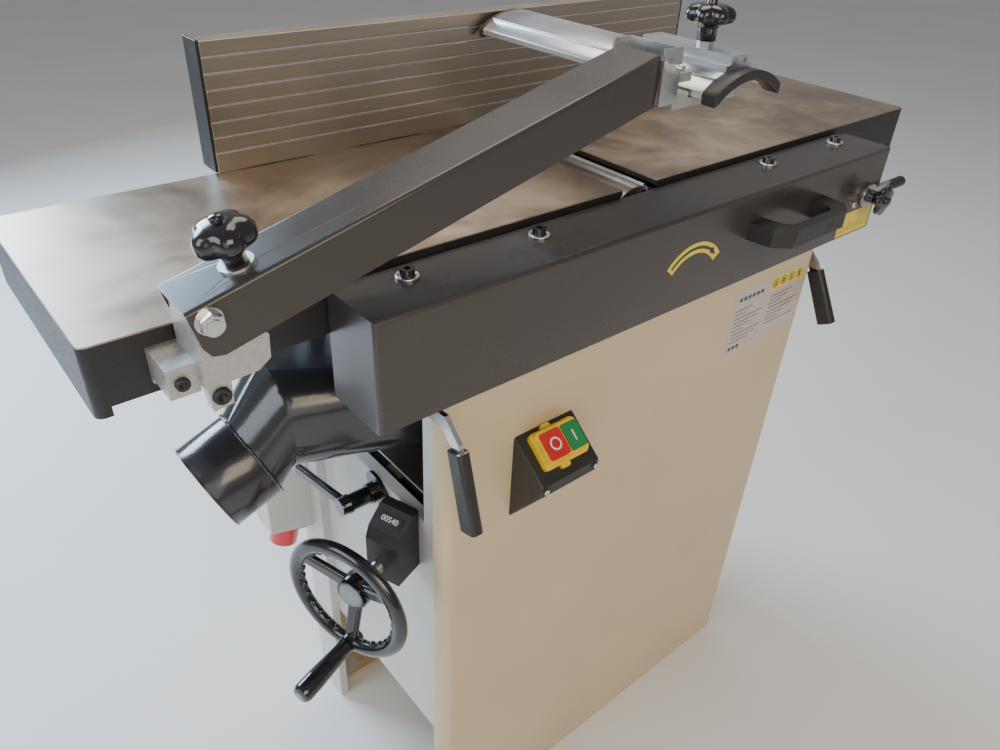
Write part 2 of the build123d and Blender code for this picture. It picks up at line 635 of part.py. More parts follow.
def lip_scoop():
    """Clear the cutting circle out of a table's lip."""
    rod((0, -TABLE_Y - 1, CUTTER_Z), (0, 1, 0), KNIFE_R + 4.0, 2 * TABLE_Y + 2, Mode.SUBTRACT)


with BuildPart() as outfeed_table:
    table_side(-LIP_X, -TABLE_END)
    lip_scoop()
    corners = edges().filter_by(Axis.Z).filter_by(lambda e: abs(e.center().X) > TABLE_END - 1)
    fillet(corners, 7.0)
    chamfer(faces().sort_by(Axis.Z)[-1].edges(), 0.8)
    for x in BEAM_BOLTS_OUT:
        block((x - 16, x + 16), (-174.0, -TABLE_Y), (826.0, BEAM_Z[1] - BEAM_SHEET))
        rod((x, BEAM_BOLT_Y, 827.0), (0, 0, 1), 4.0, 30.0, Mode.SUBTRACT)
outfeed_table.part.label = "outfeed_table"
export_step(outfeed_table.part, "parts/outfeed_table.step")

with BuildPart() as infeed_table:
    table_side(LIP_X, TABLE_END)
    lip_scoop()
    corners = edges().filter_by(Axis.Z).filter_by(lambda e: abs(e.center().X) > TABLE_END - 1)
    fillet(corners, 7.0)
    chamfer(faces().sort_by(Axis.Z)[-1].edges(), 0.8)
    for x in BEAM_BOLTS_IN:
        block((x - 16, x + 16), (-174.0, -TABLE_Y), LUG_Z)
        rod((x, BEAM_BOLT_Y, LUG_Z[0] - 1), (0, 0, 1), 6.0 + RUNNING, 30.0, Mode.SUBTRACT)
infeed_table.part.label = "infeed_table"
export_step(infeed_table.part, "parts/infeed_table.step")

with BuildPart() as infeed_ways:
    block((172.0, 354.0), (-176.0, -139.0), (837.0, BEAM_Z[1] - BEAM_SHEET))
    for x in BEAM_BOLTS_IN:
        rod((x, BEAM_BOLT_Y, 792.0), (0, 0, 1), 6.0, 46.0)
        rod((x, BEAM_BOLT_Y, 841.0), (0, 0, 1), 4.0, 12.0, Mode.SUBTRACT)
infeed_ways.part.label = "infeed_ways"
export_step(infeed_ways.part, "parts/infeed_ways.step")

with BuildPart() as side_beam:
    block(BEAM_X, BEAM_Y, BEAM_Z)
    near_edges = edges().filter_by(lambda e: abs(e.center().Y - BEAM_Y[0]) < 0.1)
    fillet(near_edges.filter_by(lambda e: e.center().Z > BEAM_Z[0] + 1), 4.0)
    block((BEAM_X[0] + BEAM_SHEET, BEAM_X[1] - BEAM_SHEET), (BEAM_Y[0] + BEAM_SHEET, BEAM_Y[1] + 1),
          (BEAM_Z[0] - 1, BEAM_Z[1] - BEAM_SHEET), Mode.SUBTRACT)
    for x in BEAM_BOLTS_OUT + BEAM_BOLTS_IN:
        rod((x, BEAM_BOLT_Y, 840.0), (0, 0, 1), 4.0, 20.0, Mode.SUBTRACT)
    rod((KNOB_X, BEAM_Y[0] - 14, KNOB_Z), (0, 1, 0), 8.0, 20.0)
side_beam.part.label = "side_beam"
export_step(side_beam.part, "parts/side_beam.step")

with BuildPart() as table_bolts:
    for x in BEAM_BOLTS_OUT + BEAM_BOLTS_IN:
        low = 827.0 if x < 0 else 841.0
        top = BEAM_Z[1]
        rod((x, BEAM_BOLT_Y, low), (0, 0, 1), 4.0, top - low)
        rod((x, BEAM_BOLT_Y, top), (0, 0, 1), 10.0, 1.6)
        rod((x, BEAM_BOLT_Y, top + 1.6), (0, 0, 1), 6.5, 6.4)
        with BuildSketch(Plane((x, BEAM_BOLT_Y, top + 8.0))):
            RegularPolygon(3.0, 6)
        extrude(amount=-4.0, mode=Mode.SUBTRACT)
    rod((ARM_PIVOT[0], -197, ARM_PIVOT[1]), (0, 1, 0), 5.0, 66.5)
    rod((ARM_PIVOT[0], ARM_Y[0] - 1.6, ARM_PIVOT[1]), (0, 1, 0), 10.0, 1.3)
    with BuildSketch(Plane(origin=(ARM_PIVOT[0], ARM_Y[0] - 1.6, ARM_PIVOT[1]), z_dir=(0, -1, 0))):
        RegularPolygon(8.8, 6)
    extrude(amount=7.0)
    rod((ARM_PIVOT[0], ARM_Y[0] - 8.6, ARM_PIVOT[1]), (0, -1, 0), 7.4, 1.8)
table_bolts.part.label = "table_bolts"
export_step(table_bolts.part, "parts/table_bolts.step")


# ----------------------------------------------------------------- bow handle on the beam
BOW_Z = (798.0, 818.0)
BOW_OUTER = [(100, -207), (104, -236), (122, -251), (224, -250), (240, -238), (245, -207)]
BOW_INNER = [(217, -206), (217, -230), (209, -238), (136, -238), (128, -230), (124, -206)]

with BuildPart() as bow_handle:
    plan_profile(BOW_OUTER, BOW_Z[0], BOW_Z[1] - BOW_Z[0])
    plan_profile(BOW_INNER, BOW_Z[0] - 1, BOW_Z[1] - BOW_Z[0] + 2, Mode.SUBTRACT)
    upright = edges().filter_by(Axis.Z).filter_by(lambda e: e.center().Y < -225)
    fillet(upright, 5.0)
bow_handle.part.label = "bow_handle"
export_step(bow_handle.part, "parts/bow_handle.step")


# ----------------------------------------------------------------- infeed depth lever and its lock knob

with BuildPart() as depth_lever:
    with BuildSketch(Plane(origin=(KNOB_X, BEAM_Y[0] - GAP, KNOB_Z), x_dir=(1, 0, 0), z_dir=(0, -1, 0))):
        Circle(15.0)
        with Locations((26, 2)):
            Rectangle(44.0, 14.0)
        Circle(8.0 + RUNNING, mode=Mode.SUBTRACT)
    extrude(amount=6.0)
    rod((KNOB_X + 46, BEAM_Y[0] - 3.3, KNOB_Z + 2), (1, 0, 0), 2.9, 12.0)
    grip_start = Plane(origin=(KNOB_X + 49, BEAM_Y[0] - 3.3, KNOB_Z + 2), x_dir=(0, 1, 0), z_dir=(1, 0, 0))
    with BuildSketch(grip_start):
        Circle(6.5)
    with BuildSketch(grip_start.offset(35.0)):
        Circle(7.0)
    loft()
    fillet(faces().sort_by(Axis.X)[-1].edges(), 3.0)
depth_lever.part.label = "depth_lever"
export_step(depth_lever.part, "parts/depth_lever.step")


LOBES = 5


def lobed(radius, lobe):
    """Outline of a lobed clamp knob, in the current sketch plane."""
    with BuildSketch() as outline:
        Circle(radius - lobe * 0.75)
        with PolarLocations(radius - lobe, LOBES):
            Circle(lobe)
        inner = outline.vertices()
        fillet(inner, 1.6)
    return outline.sketch


def lobed_knob(plane, radius, lobe, shank, height):
    """Knob that stands on a plane: a tapered shank, then a lobed head."""
    with BuildSketch(plane) as foot:
        Circle(radius * 0.42)
    with BuildSketch(plane.offset(shank)) as neck:
        Circle(radius * 0.5)
    loft([foot.sketch.face(), neck.sketch.face()])
    extrude(plane.offset(shank - 0.2) * lobed(radius, lobe), amount=height - shank + 0.2)


with BuildPart() as depth_lock_knob:
    plane = Plane(origin=(KNOB_X, BEAM_Y[0] - 14.3, KNOB_Z), x_dir=(1, 0, 0), z_dir=(0, -1, 0))
    lobed_knob(plane, 22.0, 8.0, 6.0, 18.0)
depth_lock_knob.part.label = "depth_lock_knob"
export_step(depth_lock_knob.part, "parts/depth_lock_knob.step")

# ================================================================= rear hinge of the tables
with BuildPart() as table_hinge_shaft:
    rod((-302, HINGE_Y, HINGE_Z), (1, 0, 0), HINGE_R, 604.0)
table_hinge_shaft.part.label = "table_hinge_shaft"
export_step(table_hinge_shaft.part, "parts/table_hinge_shaft.step")


def hinge_arm(x, thickness, front):
    """Arm from the rear skirt of a table back to the hinge shaft."""
    end_profile([(front, 808), (front, 842), (178, 864), (200, 862), (202, 838), (176, 832), (152, 808)],
                x, thickness)
    rod((x, HINGE_Y, HINGE_Z), (1, 0, 0), 16.0, thickness)
    rod((x - 1, HINGE_Y, HINGE_Z), (1, 0, 0), HINGE_R, thickness + 2, Mode.SUBTRACT)


with BuildPart() as table_hinge_arms:
    hinge_arm(-300.0, 30.0, TABLE_Y)
    hinge_arm(252.0, 44.0, TABLE_Y + GAP)
table_hinge_arms.part.label = "table_hinge_arms"
export_step(table_hinge_arms.part, "parts/table_hinge_arms.step")

with BuildPart() as hinge_brackets:
    for x in (-245.0, 217.0):
        end_profile([(REAR_Y, 640), (158, 640), (202, 836), (204, 850), (172, 850), (REAR_Y, 737)], x, 28.0)
        rod((x, HINGE_Y, HINGE_Z), (1, 0, 0), 16.0, 28.0)
        rod((x - 1, HINGE_Y, HINGE_Z), (1, 0, 0), HINGE_R + RUNNING, 30.0, Mode.SUBTRACT)
hinge_brackets.part.label = "hinge_brackets"
export_step(hinge_brackets.part, "parts/hinge_brackets.step")

# ================================================================= fence
BAR_X = (-140.0, -100.0)
BAR_Z = (862.0, 878.0)
TILT_Y = 160.0
TILT_Z = 866.0
STUD = (-120.0, 204.0)

with BuildPart() as fence_bracket:
    block((-150, -92), (TABLE_Y, 170), (812, 842))
    block((-150, -92), (TABLE_Y, 138), (842, 857))
    block((-150, -92), (168, 215), (812, 888))
    block((BAR_X[0] - GAP, BAR_X[1] + GAP), (160, 220), (BAR_Z[0] - GAP, BAR_Z[1] + GAP), Mode.SUBTRACT)
    block((-151, -91), (160, 181), (873, 890), Mode.SUBTRACT)
    rod((-160, HINGE_Y, HINGE_Z), (1, 0, 0), HINGE_R, 80.0, Mode.SUBTRACT)
    rod((STUD[0], STUD[1], 888), (0, 0, 1), 5.0, 14.0)
fence_bracket.part.label = "fence_bracket"
export_step(fence_bracket.part, "parts/fence_bracket.step")

with BuildPart() as fence_lock_lever:
    tube((STUD[0], STUD[1], 888.3), (0, 0, 1), 10.0, 5.0 + RUNNING, 12.0)
    start = (STUD[0] + 8, STUD[1], 895)
    rod(start, (1, 0, 0.12), 4.0, 44.0)
    rod((STUD[0] + 44, STUD[1], 899.3), (1, 0, 0.12), 8.0, 26.0)
    rod((STUD[0], STUD[1], 887), (0, 0, 1), 5.0 + RUNNING, 20.0, Mode.SUBTRACT)
fence_lock_lever.part.label = "fence_lock_lever"
export_step(fence_lock_lever.part, "parts/fence_lock_lever.step")


with BuildPart() as fence_carriage:
    block((-138, -102), (TILT_Y, 168), (BAR_Z[0], 874))
    rod((-138, TILT_Y, TILT_Z), (1, 0, 0), 6.5, 36.0)
    rod((-139, TILT_Y, TILT_Z), (1, 0, 0), 3.0 + RUNNING, 38.0, Mode.SUBTRACT)
    block(BAR_X, (168, 420), BAR_Z)
fence_carriage.part.label = "fence_carriage"
export_step(fence_carriage.part, "parts/fence_carriage.step")

GROOVES = 7
FENCE_BACK = 152.0
FENCE_CUT_X = (FENCE_X[0] - 1, FENCE_X[1] + 1)

with BuildPart() as fence_extrusion:
    block(FENCE_X, (FENCE_Y, FENCE_BACK), (FENCE_Z, FENCE_Z + FENCE_H))
    for low, high in ((4.0, 40.0), (43.0, 82.0), (85.0, FENCE_H - 3.0)):
        block(FENCE_CUT_X, (FENCE_Y + 4, FENCE_BACK - 3), (FENCE_Z + low, FENCE_Z + high), Mode.SUBTRACT)
    for index in range(GROOVES):
        z = FENCE_Z + FENCE_H - 14.1 - index * 15.2
        block(FENCE_CUT_X, (FENCE_Y - 1, FENCE_Y + 1.2), (z - 1.0, z + 1.0), Mode.SUBTRACT)
fence_extrusion.part.label = "fence_extrusion"
export_step(fence_extrusion.part, "parts/fence_extrusion.step")

with BuildPart() as fence_end_plates:
    for low, high in ((FENCE_X[0] - 3.0, FENCE_X[0]), (FENCE_X[1], FENCE_X[1] + 3.0)):
        block((low, high), (FENCE_Y + 0.5, FENCE_BACK + 8), (FENCE_Z + 0.5, FENCE_Z + FENCE_H + 1))
fence_end_plates.part.label = "fence_end_plates"
export_step(fence_end_plates.part, "parts/fence_end_plates.step")

with BuildPart() as fence_rear_plate:
    block((-170, -70), (FENCE_BACK, FENCE_BACK + 4), (TILT_Z - 6, 960))
    for x in (-170.0, -101.7):
        block((x, x + 31.7), (FENCE_BACK, TILT_Y), (TILT_Z - 6, TILT_Z + 6))
        rod((x, TILT_Y, TILT_Z), (1, 0, 0), 6.0, 31.7)
    block((-138.3, -101.7), (FENCE_BACK - 1, 180), (TILT_Z - 7, 908), Mode.SUBTRACT)
    rod((-172, TILT_Y, TILT_Z), (1, 0, 0), 3.0, 104.0)
fence_rear_plate.part.label = "fence_rear_plate"
export_step(fence_rear_plate.part, "parts/fence_rear_plate.step")


# ================================================================= guard arm and its support
PAD_Y = -136.3


with BuildPart() as arm_bracket:
    side_profile([(-489.6, 832), (-486.9, 807.3), (-471.9, 809.1), (-471.4, 827.4), (-450.7, 828.5),
                  (-440.6, 835.7), (-439.6, 855), (-450, 866), (-472.7, 884), (-488.3, 884)],
                 -181.7, 181.7 + PAD_Y)
    rod((ARM_PIVOT[0], -181.7, ARM_PIVOT[1]), (0, 1, 0), 8.0, 181.7 + PAD_Y)
    rod((ARM_PIVOT[0], -190, ARM_PIVOT[1]), (0, 1, 0), 5.0, 60.0, Mode.SUBTRACT)
    rod((-479.7, -190, 818.5), (0, 1, 0), 7.0, 60.0, Mode.SUBTRACT)
    block((-489, -441), (-171.7, PAD_Y - 10), (800, 868), Mode.SUBTRACT)
    block((-489.6, -486), (-181.7, PAD_Y), (834, 878))
    block((-511, -445), (PAD_Y, -TABLE_Y), (816, 844))
    block((-511, -489), (-170, PAD_Y), (820, 844))
    rod((-501.3, -171, 831), (0, 1, 0), 4.5, 9.0, Mode.SUBTRACT)
arm_bracket.part.label = "arm_bracket"
export_step(arm_bracket.part, "parts/arm_bracket.step")


HEAD_PIVOT = arm_point(HEAD_PIVOT_RUN)
ARM_END = -61.0


def arm_run_at(x, rise):
    """Run along the tilted arm at which a line at this rise reaches X."""
    tilt = radians(ARM_TILT)
    return (x - ARM_PIVOT[0] + rise * sin(tilt)) / cos(tilt)


ARM_NORMAL = Vector(-sin(radians(ARM_TILT)), 0, cos(radians(ARM_TILT)))
KNOB_SEAT = arm_point(38.3, 11.5)
KNOB_PLANE = Plane(origin=(KNOB_SEAT[0], -159, KNOB_SEAT[1]), x_dir=(0, -1, 0), z_dir=ARM_NORMAL)

with BuildPart() as guard_arm:
    outline = [arm_point(-11.6, 11.5), arm_point(-11.6, -18.0), arm_point(-8.5, -26.5), arm_point(0.0, -30.5),
               arm_point(arm_run_at(ARM_END, -30.5), -30.5), arm_point(arm_run_at(ARM_END, 11.5), 11.5)]
    side_profile(outline, ARM_Y[0], ARM_Y[1] - ARM_Y[0])
    long_edges = edges().filter_by(lambda e: e.length > 430).sort_by(Axis.Z)[-2:]
    fillet(long_edges, 3.5)
    hollow = [arm_point(-14.0, 8.5), arm_point(-14.0, -60.0), arm_point(480.0, -60.0), arm_point(480.0, 8.5)]
    side_profile(hollow, ARM_Y[0] + ARM_SHEET, ARM_Y[1] - ARM_Y[0] - 2 * ARM_SHEET, Mode.SUBTRACT)
    rod((ARM_PIVOT[0], -190, ARM_PIVOT[1]), (0, 1, 0), 5.0 + RUNNING, 70.0, Mode.SUBTRACT)
    rod((HEAD_PIVOT[0], ARM_Y[0] + ARM_SHEET, HEAD_PIVOT[1]), (0, 1, 0), 4.0,
        ARM_Y[1] - ARM_Y[0] - 2 * ARM_SHEET)
    with BuildSketch(KNOB_PLANE.offset(-1.0)):
        Circle(13.0)
    extrude(amount=3.0)
guard_arm.part.label = "guard_arm"
export_step(guard_arm.part, "parts/guard_arm.step")

with BuildPart() as arm_knob:
    lobed_knob(KNOB_PLANE.offset(2.3), 23.0, 8.5, 10.0, 32.0)
    with BuildSketch(KNOB_PLANE.offset(34.2)):
        RectangleRounded(9.0, 9.0, 1.5)
    extrude(amount=6.5)
arm_knob.part.label = "arm_knob"
export_step(arm_knob.part, "parts/arm_knob.step")

# ----------------------------------------------------------------- guard head
with BuildPart() as guard_head:
    block((HEAD_PIVOT[0], -38.5), (-173, -145), (HEAD_PIVOT[1] - 10, HEAD_PIVOT[1] + 7))
    rod((HEAD_PIVOT[0], -173, HEAD_PIVOT[1]), (0, 1, 0), 7.0, 28.0)
    rod((HEAD_PIVOT[0], -174, HEAD_PIVOT[1]), (0, 1, 0), 4.0 + RUNNING, 30.0, Mode.SUBTRACT)
    block((-41, -38.5), (-190, -128), (961, 1006))
    block((-62, -38.5), (-190, -187.5), (959, 1007))
    block((-62, -38.5), (-130.5, -128), (961, 1006))
    with BuildSketch(Plane(origin=(-48, -190, 992), z_dir=(0, -1, 0))):
        RegularPolygon(5.6, 6)
    extrude(amount=5.0)
    rod((-48, -195, 992), (0, -1, 0), 3.0, 5.0)
guard_head.part.label = "guard_head"
export_step(guard_head.part, "parts/guard_head.step")


with BuildPart() as head_slide:
    block((-38.5, -17.5), (-187, -145), (957, 984))
    block((-38.6, -17.4), (-188, -168), (966, 975.5), Mode.SUBTRACT)
    block((-38.5, 52), (-187, -140), (952, 960.8))
    block((15, 51), (-187, -140), (960, 976.3))
head_slide.part.label = "head_slide"
export_step(head_slide.part, "parts/head_slide.step")

# ----------------------------------------------------------------- bridge guard
ARCH_R = (GUARD_HALF ** 2 + (GUARD_CREST - GUARD_EDGE) ** 2) / (2 * (GUARD_CREST - GUARD_EDGE))
ARCH_Z = GUARD_CREST - ARCH_R


def arch_profile(y, length, wall, foot):
    """Arched guard section extruded from y towards +Y."""
    inner = ARCH_R - wall
    drop = inner * cos(asin((GUARD_HALF - 4) / inner))
    with BuildSketch(Plane(origin=(GUARD_MID, y, 0), x_dir=(1, 0, 0), z_dir=(0, -1, 0))) as face:
        with BuildLine():
            ThreePointArc((-GUARD_HALF, GUARD_EDGE), (0, GUARD_CREST), (GUARD_HALF, GUARD_EDGE))
            Line((GUARD_HALF, GUARD_EDGE), (GUARD_HALF, GUARD_EDGE - foot))
            Line((GUARD_HALF, GUARD_EDGE - foot), (GUARD_HALF - 4, ARCH_Z + drop))
            ThreePointArc((GUARD_HALF - 4, ARCH_Z + drop), (0, GUARD_CREST - wall),
                          (4 - GUARD_HALF, ARCH_Z + drop))
            Line((4 - GUARD_HALF, ARCH_Z + drop), (-GUARD_HALF, GUARD_EDGE - foot))
            Line((-GUARD_HALF, GUARD_EDGE - foot), (-GUARD_HALF, GUARD_EDGE))
        make_face()
    extrude(face.sketch, amount=-length)


with BuildPart() as bridge_guard:
    arch_profile(GUARD_Y[0], GUARD_Y[1] - GUARD_Y[0], GUARD_WALL, 5.5)
    for x in (-34.0, 34.0):
        height = ARCH_Z + (ARCH_R ** 2 - x ** 2) ** 0.5
        block((GUARD_MID + x - 1.2, GUARD_MID + x + 1.2), GUARD_Y, (height - 1.5, height + 1.4))
bridge_guard.part.label = "bridge_guard"
export_step(bridge_guard.part, "parts/bridge_guard.step")

RAIL_TOP = 995.0
GUARD_KNOB = (GUARD_MID, -158.0)

with BuildPart() as guard_rail:
    block((GUARD_MID - 13, GUARD_MID + 13), (-200, -92), (GUARD_CREST - 4, RAIL_TOP))
    block((GUARD_MID - 19, GUARD_MID + 19), (-200, -92), (GUARD_CREST - 5, GUARD_CREST + 2.5))
    for x in (-7.0, 7.0):
        rod((GUARD_MID + x, -201, GUARD_CREST + 5), (0, 1, 0), 2.2, 14.0, Mode.SUBTRACT)
    rod((GUARD_MID, GUARD_Y[0] - 1, ARCH_Z), (0, 1, 0), ARCH_R, 130.0, Mode.SUBTRACT)
    with BuildSketch(Plane((GUARD_KNOB[0], GUARD_KNOB[1], RAIL_TOP))):
        RegularPolygon(8.0, 6)
    extrude(amount=5.0)
guard_rail.part.label = "guard_rail"
export_step(guard_rail.part, "parts/guard_rail.step")

with BuildPart() as guard_end_caps:
    arch_profile(GUARD_Y[0] - 17, 17.0, 9.0, 10.0)
    arch_profile(GUARD_Y[1], 8.0, 9.0, 10.0)
guard_end_caps.part.label = "guard_end_caps"
export_step(guard_end_caps.part, "parts/guard_end_caps.step")


with BuildPart() as guard_knob:
    plane = Plane((GUARD_KNOB[0], GUARD_KNOB[1], RAIL_TOP + 5.3))
    lobed_knob(plane, 24.0, 9.0, 14.0, 32.0)
guard_knob.part.label = "guard_knob"
export_step(guard_knob.part, "parts/guard_knob.step")

# ================================================================= table locking levers


def strip(points, width):
    """Flat bar outline that follows (Y, Z) points, in the current sketch."""
    with BuildSketch() as outline:
        with BuildLine():
            line = Polyline(*points)
        trace(line, line_width=width)
    return outline.sketch


def flat_bar(x, thickness, points, width, mode=Mode.ADD):
    """Flat bar that follows (Y, Z) points, from x towards +X."""
    plane = Plane(origin=(x, 0, 0), x_dir=(0, 1, 0), z_dir=(1, 0, 0))
    extrude(plane * strip(points, width), amount=thickness, mode=mode)


RIGHT_BAR = [(LOCK_PIVOT_Y, LOCK_PIVOT_Z), (-176, 717), (-190, 704), (-206, 674)]
LEFT_BAR = [(LOCK_PIVOT_Y, LOCK_PIVOT_Z), (-178, 730), (-206, 732), (-223, 716), (-230, 688)]

def lever_grip(x, top, bottom, width, depth):
    """Moulded grip round the end of a flat bar, from its top to its bottom point."""
    start = Vector(x, *top)
    end = Vector(x, *bottom)
    direction = (end - start).normalized()
    with BuildSketch(Plane(origin=start, x_dir=(1, 0, 0), z_dir=direction)) as upper:
        RectangleRounded(depth, width, 4.0)
    with BuildSketch(Plane(origin=end, x_dir=(1, 0, 0), z_dir=direction)) as lower:
        RectangleRounded(depth, width + 2, 4.0)
    loft([upper.sketch.face(), lower.sketch.face()])


GRIP_X = (LEVER_X[0] + LEVER_X[1]) / 2

with BuildPart() as lock_lever_right:
    flat_bar(LEVER_X[0], LEVER_X[1] - LEVER_X[0], RIGHT_BAR, 13.0)
    rod((LEVER_X[0], LOCK_PIVOT_Y, LOCK_PIVOT_Z), (1, 0, 0), 10.0, LEVER_X[1] - LEVER_X[0])
    rod((LEVER_X[0] - 1, LOCK_PIVOT_Y, LOCK_PIVOT_Z), (1, 0, 0), 6.0 + RUNNING, 10.0, Mode.SUBTRACT)
    lever_grip(GRIP_X, (-194, 697), (-229, 634), 20.0, 13.0)
lock_lever_right.part.label = "lock_lever_right"
export_step(lock_lever_right.part, "parts/lock_lever_right.step")

with BuildPart() as lock_lever_left:
    flat_bar(-LEVER_X[1], LEVER_X[1] - LEVER_X[0], LEFT_BAR, 13.0)
    rod((-LEVER_X[1], LOCK_PIVOT_Y, LOCK_PIVOT_Z), (1, 0, 0), 10.0, LEVER_X[1] - LEVER_X[0])
    rod((-LEVER_X[1] - 1, LOCK_PIVOT_Y, LOCK_PIVOT_Z), (1, 0, 0), 6.0 + RUNNING, 10.0, Mode.SUBTRACT)
    lever_grip(-GRIP_X, (-225, 711), (-247, 633), 20.0, 13.0)
lock_lever_left.part.label = "lock_lever_left"
export_step(lock_lever_left.part, "parts/lock_lever_left.step")


# ================================================================= switch on the front cover
SWITCH_X = (-211.0, -131.0)
SWITCH_TOP = 661.0
SWITCH_NORMAL = (0, -0.62, 0.785)


def switch_plane(x, run, lift=0.0):
    """Plane on the sloping switch face, a run down the slope from its top edge."""
    base = Vector(x, FRONT_Y, SWITCH_TOP) + Vector(0, -0.785, -0.62) * run
    base = base + Vector(*SWITCH_NORMAL) * lift
    return Plane(origin=base, x_dir=(1, 0, 0), z_dir=SWITCH_NORMAL)


with BuildPart() as switch_box:
    end_profile([(FRONT_Y, SWITCH_TOP), (-238.2, 625.3), (-238.2, 613), (FRONT_Y, 555)],
                SWITCH_X[0], SWITCH_X[1] - SWITCH_X[0])
    corners = edges().filter_by(lambda e: e.center().Y < -200 and abs(e.center().X + 171) > 39)
    fillet(corners, 3.0)
    with BuildSketch(switch_plane(-170.75, 25.0, 0.1)):
        Rectangle(50.0, 34.0)
    extrude(amount=-12.0, mode=Mode.SUBTRACT)
    for x in (-205.0, -137.0):
        rod((x, -238.2, 619.5), (0, -1, 0), 3.2, 1.8)
switch_box.part.label = "switch_box"
export_step(switch_box.part, "parts/switch_box.step")

with BuildPart() as switch_bezel:
    with BuildSketch(switch_plane(-170.75, 25.0)):
        RectangleRounded(56.5, 40.0, 4.0)
    extrude(amount=7.0)
    with BuildSketch(switch_plane(-170.75, 25.0, 7.0)):
        RectangleRounded(53.0, 36.0, 4.0)
    extrude(amount=6.0)
    with BuildSketch(switch_plane(-174.0, 25.0)):
        with Locations((0, 20), (0, -20)):
            RectangleRounded(12.0, 9.0, 3.0)
    extrude(amount=4.0)
    for x, width in ((-181.0, 25.6), (-154.8, 21.6)):
        with BuildSketch(switch_plane(x, 24.5, 13.5)):
            RectangleRounded(width, 28.6, 2.3)
        extrude(amount=-12.0, mode=Mode.SUBTRACT)
switch_bezel.part.label = "switch_bezel"
export_step(switch_bezel.part, "parts/switch_bezel.step")

with BuildPart() as stop_button:
    with BuildSketch(switch_plane(-181.0, 24.5, 5.5)):
        RectangleRounded(25.0, 28.0, 2.0)
    extrude(amount=10.5)
    with BuildSketch(switch_plane(-181.0, 24.5, 16.0)):
        Circle(7.0)
        Circle(5.2, mode=Mode.SUBTRACT)
    extrude(amount=-0.5, mode=Mode.SUBTRACT)
stop_button.part.label = "stop_button"
export_step(stop_button.part, "parts/stop_button.step")

with BuildPart() as start_button:
    with BuildSketch(switch_plane(-154.8, 24.5, 5.5)):
        RectangleRounded(21.0, 28.0, 2.0)
    extrude(amount=8.5)
    with BuildSketch(switch_plane(-154.8, 24.5, 14.0)):
        Rectangle(2.0, 12.0)
    extrude(amount=-0.5, mode=Mode.SUBTRACT)
start_button.part.label = "start_button"
export_step(start_button.part, "parts/start_button.step")


# ================================================================= rear power inlet

INLET_AXIS = Vector(-17, 0, -62).normalized()
INLET_FOOT = Vector(-328, 125, 360 + 17 * 32 / 62)
INLET_PLANE = Plane(origin=INLET_FOOT, x_dir=(0, 1, 0), z_dir=INLET_AXIS)

with BuildPart() as power_inlet:
    with BuildSketch(INLET_PLANE):
        RectangleRounded(38.0, 50.0, 5.0)
    extrude(amount=3.0)
    with BuildSketch(INLET_PLANE.offset(3.0)):
        Circle(18.5)
    extrude(amount=26.0)
    with BuildSketch(INLET_PLANE.offset(6.0)):
        Circle(16.0)
    extrude(amount=24.0, mode=Mode.SUBTRACT)
    with BuildSketch(INLET_PLANE.offset(5.0)):
        with PolarLocations(8.0, 3):
            Circle(2.5)
    extrude(amount=18.0)
power_inlet.part.label = "power_inlet"
export_step(power_inlet.part, "parts/power_inlet.step")

# ================================================================= extraction hood
PORT_AXIS = Vector(-cos(radians(PORT_TILT)), 0, -sin(radians(PORT_TILT)))
PORT_ROOT = Vector(*PORT_END) - PORT_AXIS * 52.0
HOOD_SHEET = 2.0


def duct_section(x, half_width, low, high, corner, grow):
    """Rounded section across the duct at X, grown outwards."""
    plane = Plane(origin=(x, 0, (low + high) / 2), x_dir=(0, 1, 0), z_dir=(1, 0, 0))
    with BuildSketch(plane) as section:
        RectangleRounded(2 * (half_width + grow), high - low + 2 * grow, corner + grow)
    return section.sketch.face()


def duct(grow, last, sleeve, mode):
    """Loft the duct from its round port through its sections to an X limit."""
    mouth_half = PORT_R + grow - 2.0
    plane = Plane(origin=PORT_ROOT, x_dir=(0, 1, 0), z_dir=PORT_AXIS * -1)
    with BuildSketch(plane) as mouth:
        RectangleRounded(2 * mouth_half, 2 * mouth_half, mouth_half - 1.0)
    sections = [mouth.sketch.face(), duct_section(-376, 54, 592, 706, 46, grow),
                duct_section(-235, 112, 606, 702, 26, grow), duct_section(last, 124, 620, 740, 8, grow)]
    loft(sections, ruled=True, mode=mode)
    rod(Vector(*PORT_END) - PORT_AXIS * grow, PORT_AXIS * -1, PORT_R + grow, sleeve, mode)


with BuildPart() as dust_hood:
    duct(0.0, -108, 55.0, Mode.ADD)
    block((-110, 48), (-124, 124), (620, 778))
    duct(-HOOD_SHEET, -104, 55.0, Mode.SUBTRACT)
    block((-108, 46), (-122, 122), (622, 779), Mode.SUBTRACT)
    for low, high in ((-138, -124), (124, 133)):
        block((-30, 30), (low, high), (690, 694))
dust_hood.part.label = "dust_hood"
export_step(dust_hood.part, "parts/dust_hood.step")
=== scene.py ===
"""Looks of the combined surface planer and thicknesser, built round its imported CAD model.

Lengths are metres in the CAD's own frame.  +X is the infeed end, -Y the operator and +Z up.
"""
import json
from math import cos, pi, radians, sin

import bmesh
import bpy
from mathutils import Matrix, Quaternion, Vector


